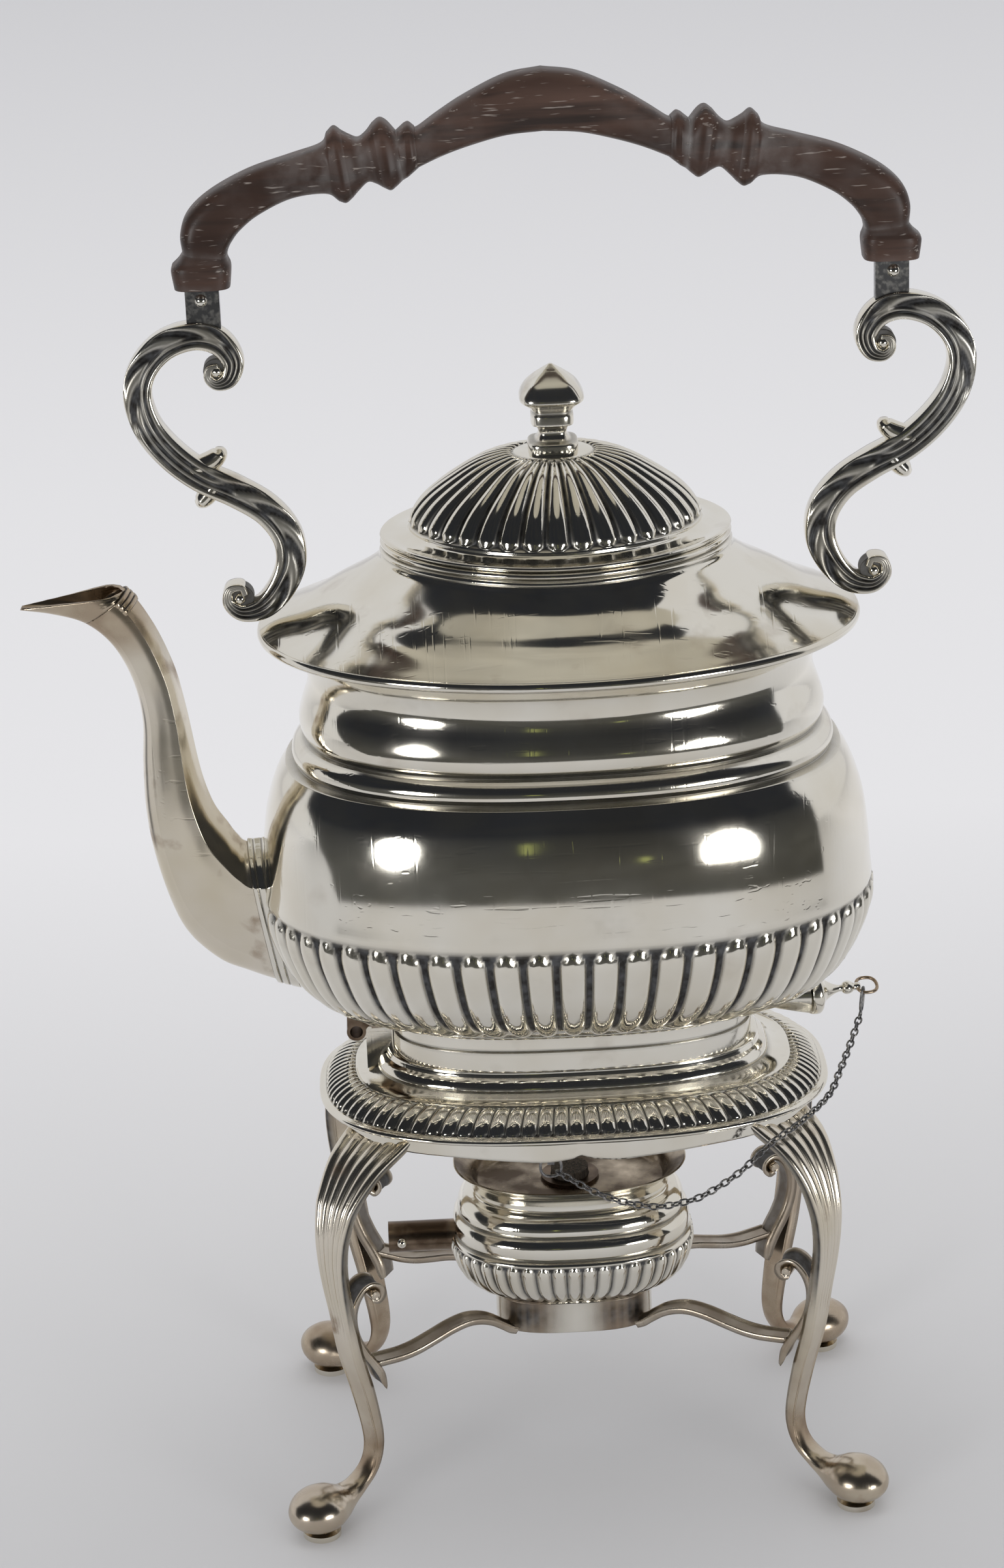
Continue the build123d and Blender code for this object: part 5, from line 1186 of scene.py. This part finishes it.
line = smooth(ROUTE, 20)
way = length_along(line)
count = int(way[-1] / LINK_PITCH)
links = []
for i in range(count):
    at = (i + 0.5) / count * way[-1]
    spot, ahead = [np.array([np.interp(place, way, line[:, k]) for k in range(3)])
                   for place in (at, at + LOOK_AHEAD)]
    along = unit(ahead - spot)
    level = unit(np.cross([0, 0, 1.0], along))
    wide = level if i % 2 == 0 else np.cross(along, level)
    links.append(shell(wire_loop(spot, along, wide, LINK_LONG, LINK_WIDE, LINK_WIRE, 6, 14), loop=True))
end_along = unit(END_ALONG)
end_wide = unit(np.cross(end_along, np.cross(END_FACING, end_along)))
links.append(shell(wire_loop(END_LINK, end_along, end_wide, END_LONG, END_WIDE, END_WIRE, 8, 24), loop=True))
chain = make_piece("chain_links", links, None, CHAIN_METAL, ["chain"])
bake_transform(chain)
first_ring = shell(wire_loop((-7.3, -35.3, 92.6), (1, 0, 0), (0, 0, 1), 2.45, 2.45, 0.35, 10, 36), loop=True)
make_piece("chain_first_ring", [first_ring], "stand", CHAIN_METAL, ["chain_ring"])

# %% [markdown]
# ## Pieces kept from the CAD model
# Small plain fittings are right as they are, and only get their finish. The frame hides the nodes that a
# piece above replaces, so the loop skips what is hidden and gives each other node its metal.

# %% Finishes for the kept pieces
FITTINGS = {"wick": COTTON, "chain_eye": CHAIN_METAL, "wick_holder": FIRE_STAINED,
            "burner_socket": FIRE_STAINED, "hinge_tube": FIRE_STAINED, "tang_left": CHAIN_METAL,
            "tang_right": CHAIN_METAL}
STAINED = ("hinge_cradle", "pin_socket", "pin_catch", "foot_pads")
for name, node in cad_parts.items():
    if node.hide_render:
        continue
    finish = FITTINGS.get(name, SILVER_CAST if name in STAINED else SILVER)
    for socket in node.material_slots:
        socket.material = finish
    print("kept", name, finish.name)

# %% [markdown]
# ## Studio
# Silver shows its surroundings. The photograph was taken in a pale tent: the object stands on a light
# table, the sides and back are pale, and in front the tent is open to a dim room with two round lamps. A
# picture of a room could be wrapped round the scene, but plain cards, lamps and a grey world say the same
# with a few numbers.

# %% Floor
# Painted light and shade on the table: the paper is coloured lighter behind the kettle and darker near the viewer
# and far away.
PAPER_NEAR_PAINTED_SHADE, PAPER_MIDDLE_PAINTED_LIGHT, PAPER_FAR_PAINTED_SHADE = (0.575, 0.575, 0.59), (0.84, 0.84, 0.865), (0.735, 0.735, 0.76)
PAINTED_LIGHT_RISE = {"From Min": -0.08, "From Max": 0.42}
PAINTED_LIGHT_FALL = {"From Min": 0.80, "From Max": 2.3}


def table_paper():
    """Matt paper of the table with painted light and shade: lighter behind the kettle, darker near the viewer and
    far away.
    """
    material, shader, link, add = new_finish("table_paper", 0.9, 0.0)
    spot = add("ShaderNodeTexCoord").outputs["Object"]
    depth = add("ShaderNodeSeparateXYZ", {"Vector": spot}).outputs["Y"]
    away = add("ShaderNodeMapRange", {"Value": depth, **PAINTED_LIGHT_RISE}).outputs["Result"]
    far = add("ShaderNodeMapRange", {"Value": depth, **PAINTED_LIGHT_FALL}).outputs["Result"]
    colour = mix_colour(add, away, PAPER_NEAR_PAINTED_SHADE, PAPER_MIDDLE_PAINTED_LIGHT)
    link(mix_colour(add, far, colour, PAPER_FAR_PAINTED_SHADE), shader.inputs["Base Color"])
    shader.inputs["Specular IOR Level"].default_value = 0.1
    return material


FLOOR_HALF = 6.0
mesh = bpy.data.meshes.new("table")
corners = [(x * FLOOR_HALF, y * FLOOR_HALF, 0) for x, y in ((-1, -1), (1, -1), (1, 1), (-1, 1))]
mesh.from_pydata(corners, [], [(0, 1, 2, 3)])
mesh.materials.append(table_paper())
table = bpy.data.objects.new("table", mesh)
bpy.context.scene.collection.objects.link(table)
print("table", 2 * FLOOR_HALF, "m wide")

# %% [markdown]
# The world is the tent. The camera and the silver see a pale grey that matches the photograph's background,
# and the world lights the scene with a slightly stronger white. Light Path tells the two apart.

# %% World
WORLD_PALE = (0.70, 0.70, 0.715, 1.0)
WORLD_LIGHT = (0.80, 0.80, 0.80, 1.0)
world = bpy.data.worlds.new("tent")
bpy.context.scene.world = world
world.use_nodes = True
tree = world.node_tree
pale, lit = tree.nodes["Background"], tree.nodes.new("ShaderNodeBackground")
pale.inputs["Color"].default_value = WORLD_PALE
lit.inputs["Color"].default_value = WORLD_LIGHT
rays = tree.nodes.new("ShaderNodeLightPath")
seen = rays.outputs["Is Camera Ray"]
for ray in ("Is Glossy Ray", "Is Transmission Ray"):
    either = tree.nodes.new("ShaderNodeMath")
    either.operation = "MAXIMUM"
    tree.links.new(seen, either.inputs[0])
    tree.links.new(rays.outputs[ray], either.inputs[1])
    seen = either.outputs[0]
choose = tree.nodes.new("ShaderNodeMixShader")
for socket, source in zip(choose.inputs, (seen, lit.outputs[0], pale.outputs[0])):
    tree.links.new(source, socket)
tree.links.new(choose.outputs[0], tree.nodes["World Output"].inputs["Surface"])
print("world nodes", len(tree.nodes))

# %% [markdown]
# The dark shape on the kettle's belly is the open side of the tent and the room behind it. It is stood in
# for by cards that only reflections see: a dim room in front, two small bright strips in it, and a warm
# ceiling. They give off a little light of their own, so they look the same from every side and leave the
# table alone.

# %% Cards that only reflections see
ROOM_RADIUS = 1.6
ROOM_NEAR = 0.56
EYE_LEVEL = 0.165
ROOM_LEFT = [(-18, -52), (-17, -65), (-6, -76), (21, -108), (66, -108)]
ROOM_RIGHT = [(-18, 82), (2, 82), (36, 79), (66, 79)]
ROOM_TOP = 66
ROOM_LOW_TONE, ROOM_HIGH_TONE, ROOM_FADE = (0.085, 0.085, 0.080), (0.020, 0.022, 0.027), 0.60
CLOUD_SHARE, CLOUD_DIM = 0.45, 0.4
CARD_CLOUDS = (2.2, 0.35, 0.70, 2.0)
CEILING_Z, CEILING_HALF = 1.9, 0.85
CEILING_TONE = (0.50, 0.475, 0.41)


def away_from(azimuth_deg, elevation_deg):
    """Direction from the kettle: (sin a cos e, -cos a cos e, sin e), so azimuth 0 is towards the viewer."""
    azimuth, elevation = np.radians(azimuth_deg), np.radians(elevation_deg)
    return np.array([np.sin(azimuth) * np.cos(elevation), -np.cos(azimuth) * np.cos(elevation),
                     np.sin(elevation)])


def glossy_only(name, points, finish):
    """A grid of points as an open sheet that only reflections see."""
    rows, columns = points.shape[:2]
    index = np.arange(rows * columns).reshape(rows, columns)
    quads = np.stack([index[:-1, :-1], index[:-1, 1:], index[1:, 1:], index[1:, :-1]], -1).reshape(-1, 4)
    mesh = bpy.data.meshes.new(name)
    mesh.from_pydata(points.reshape(-1, 3).tolist(), [], quads.tolist())
    mesh.materials.append(finish)
    card = bpy.data.objects.new(name, mesh)
    bpy.context.scene.collection.objects.link(card)
    card.visible_camera = False
    card.visible_diffuse = False
    card.visible_shadow = False
    card.visible_transmission = False
    card.visible_volume_scatter = False
    print("card", name, points.shape[:2])


def glow_finish(name, low_colour, high_colour, top):
    """Light given off: low_colour at the table, high_colour from the height top on, in soft clouds."""
    material, shader, link, add = new_finish(name, 1.0, 0.0)
    spot = add("ShaderNodeTexCoord").outputs["Object"]
    height = add("ShaderNodeSeparateXYZ", {"Vector": spot}).outputs["Z"]
    rise = add("ShaderNodeMapRange", {"Value": height, "From Min": 0.0, "From Max": top}).outputs["Result"]
    colour = mix_colour(add, rise, low_colour, high_colour)
    clouds = arithmetic(add, "MULTIPLY", patches(add, *CARD_CLOUDS), CLOUD_SHARE)
    colour = mix_colour(add, clouds, colour, tuple(c * CLOUD_DIM for c in low_colour))
    glow = add("ShaderNodeEmission", {"Color": colour})
    output = next(node for node in material.node_tree.nodes if node.type == "OUTPUT_MATERIAL")
    link(glow.outputs[0], output.inputs["Surface"])
    material.node_tree.nodes.remove(shader)
    return material


def dark_room():
    """The open side: out along the table from ROOM_NEAR, then up a sphere; its left edge leans outwards."""
    rise = np.radians(np.linspace(-5, ROOM_TOP, 17))
    line = [(near, 0.004) for near in np.linspace(ROOM_NEAR, ROOM_RADIUS, 7)]
    line += [(ROOM_RADIUS * np.cos(e), max(0.006, EYE_LEVEL + ROOM_RADIUS * np.sin(e))) for e in rise[1:]]
    radius, height = np.array(line)[:, 0:1], np.array(line)[:, 1:2]
    seen_at = np.degrees(np.arctan2(height - EYE_LEVEL, radius))
    left = np.interp(seen_at, [e for e, a in ROOM_LEFT], [a for e, a in ROOM_LEFT])
    right = np.interp(seen_at, [e for e, a in ROOM_RIGHT], [a for e, a in ROOM_RIGHT])
    azimuth = np.radians(left + (right - left) * np.linspace(0, 1, 49)[None])
    points = np.stack([radius * np.sin(azimuth), -radius * np.cos(azimuth), height + 0 * azimuth], -1)
    glossy_only("room_front", points, glow_finish("room_dark", ROOM_LOW_TONE, ROOM_HIGH_TONE, ROOM_FADE))


def small_card(name, azimuth_deg, elevation_deg, distance, wide, high, colour):
    """A small upright sheet that faces the kettle."""
    azimuth = np.radians(azimuth_deg)
    middle = np.array([0, 0, EYE_LEVEL]) + away_from(azimuth_deg, elevation_deg) * distance
    sideways = np.array([np.cos(azimuth), np.sin(azimuth), 0.0])
    across = np.linspace(-wide / 2, wide / 2, 2)[None, :, None]
    up = np.linspace(-high / 2, high / 2, 2)[:, None, None]
    points = middle + sideways * across + np.array([0, 0, 1.0]) * up
    glossy_only(name, points, glow_finish(name, colour, colour, 1.0))


dark_room()
small_card("strip_high", -4, 5, 1.3, 0.035, 0.13, (0.55, 0.60, 0.20))
small_card("strip_low", 13, -3, 1.3, 0.05, 0.05, (0.50, 0.55, 0.22))
ends = (-CEILING_HALF, CEILING_HALF)
ceiling = np.array([[(x, y, CEILING_Z) for x in ends] for y in ends])
glossy_only("ceiling_seen", ceiling, glow_finish("ceiling_beige", CEILING_TONE, CEILING_TONE, 1.0))

# %% [markdown]
# Two round lamps stand in the room and show as bright spots on the belly and the neck. A third, square one
# above lights the scene softly and isn't reflected, because the ceiling card is what the silver sees there.

# %% Lamps
WHITE, WARM_WHITE = (1.0, 1.0, 1.0), (1.0, 0.97, 0.93)


def soft_lamp(name, azimuth_deg, elevation_deg, distance, size, watts, shape="DISK", tint=WHITE, seen=True):
    """An area lamp aimed at the kettle's middle. The camera never sees it, and the silver only if seen is set."""
    data = bpy.data.lights.new(name, "AREA")
    data.shape = shape
    data.size = size
    data.energy = watts
    data.color = tint
    lamp = bpy.data.objects.new(name, data)
    back = unit(away_from(azimuth_deg, elevation_deg))
    sideways = np.cross([0.0, 0.0, 1.0], back)
    sideways = unit(sideways) if np.linalg.norm(sideways) > 1e-6 else np.array([1.0, 0.0, 0.0])
    upright = np.cross(back, sideways)
    turn = Matrix([sideways.tolist(), upright.tolist(), back.tolist()]).transposed()
    place = np.array([0.0, 0.0, EYE_LEVEL]) + back * distance
    lamp.matrix_world = Matrix.Translation(place.tolist()) @ turn.to_4x4()
    bpy.context.scene.collection.objects.link(lamp)
    lamp.visible_camera = False
    lamp.visible_glossy = seen
    print("lamp", name, watts, "W at", place.round(2))


soft_lamp("lamp_left", -40, 3, 1.25, 0.36, 3.4)
soft_lamp("lamp_right", 37, -3, 1.25, 0.42, 4.6)
soft_lamp("ceiling_light", 0, 90, 1.9, 1.6, 6.2, "SQUARE", WARM_WHITE, False)
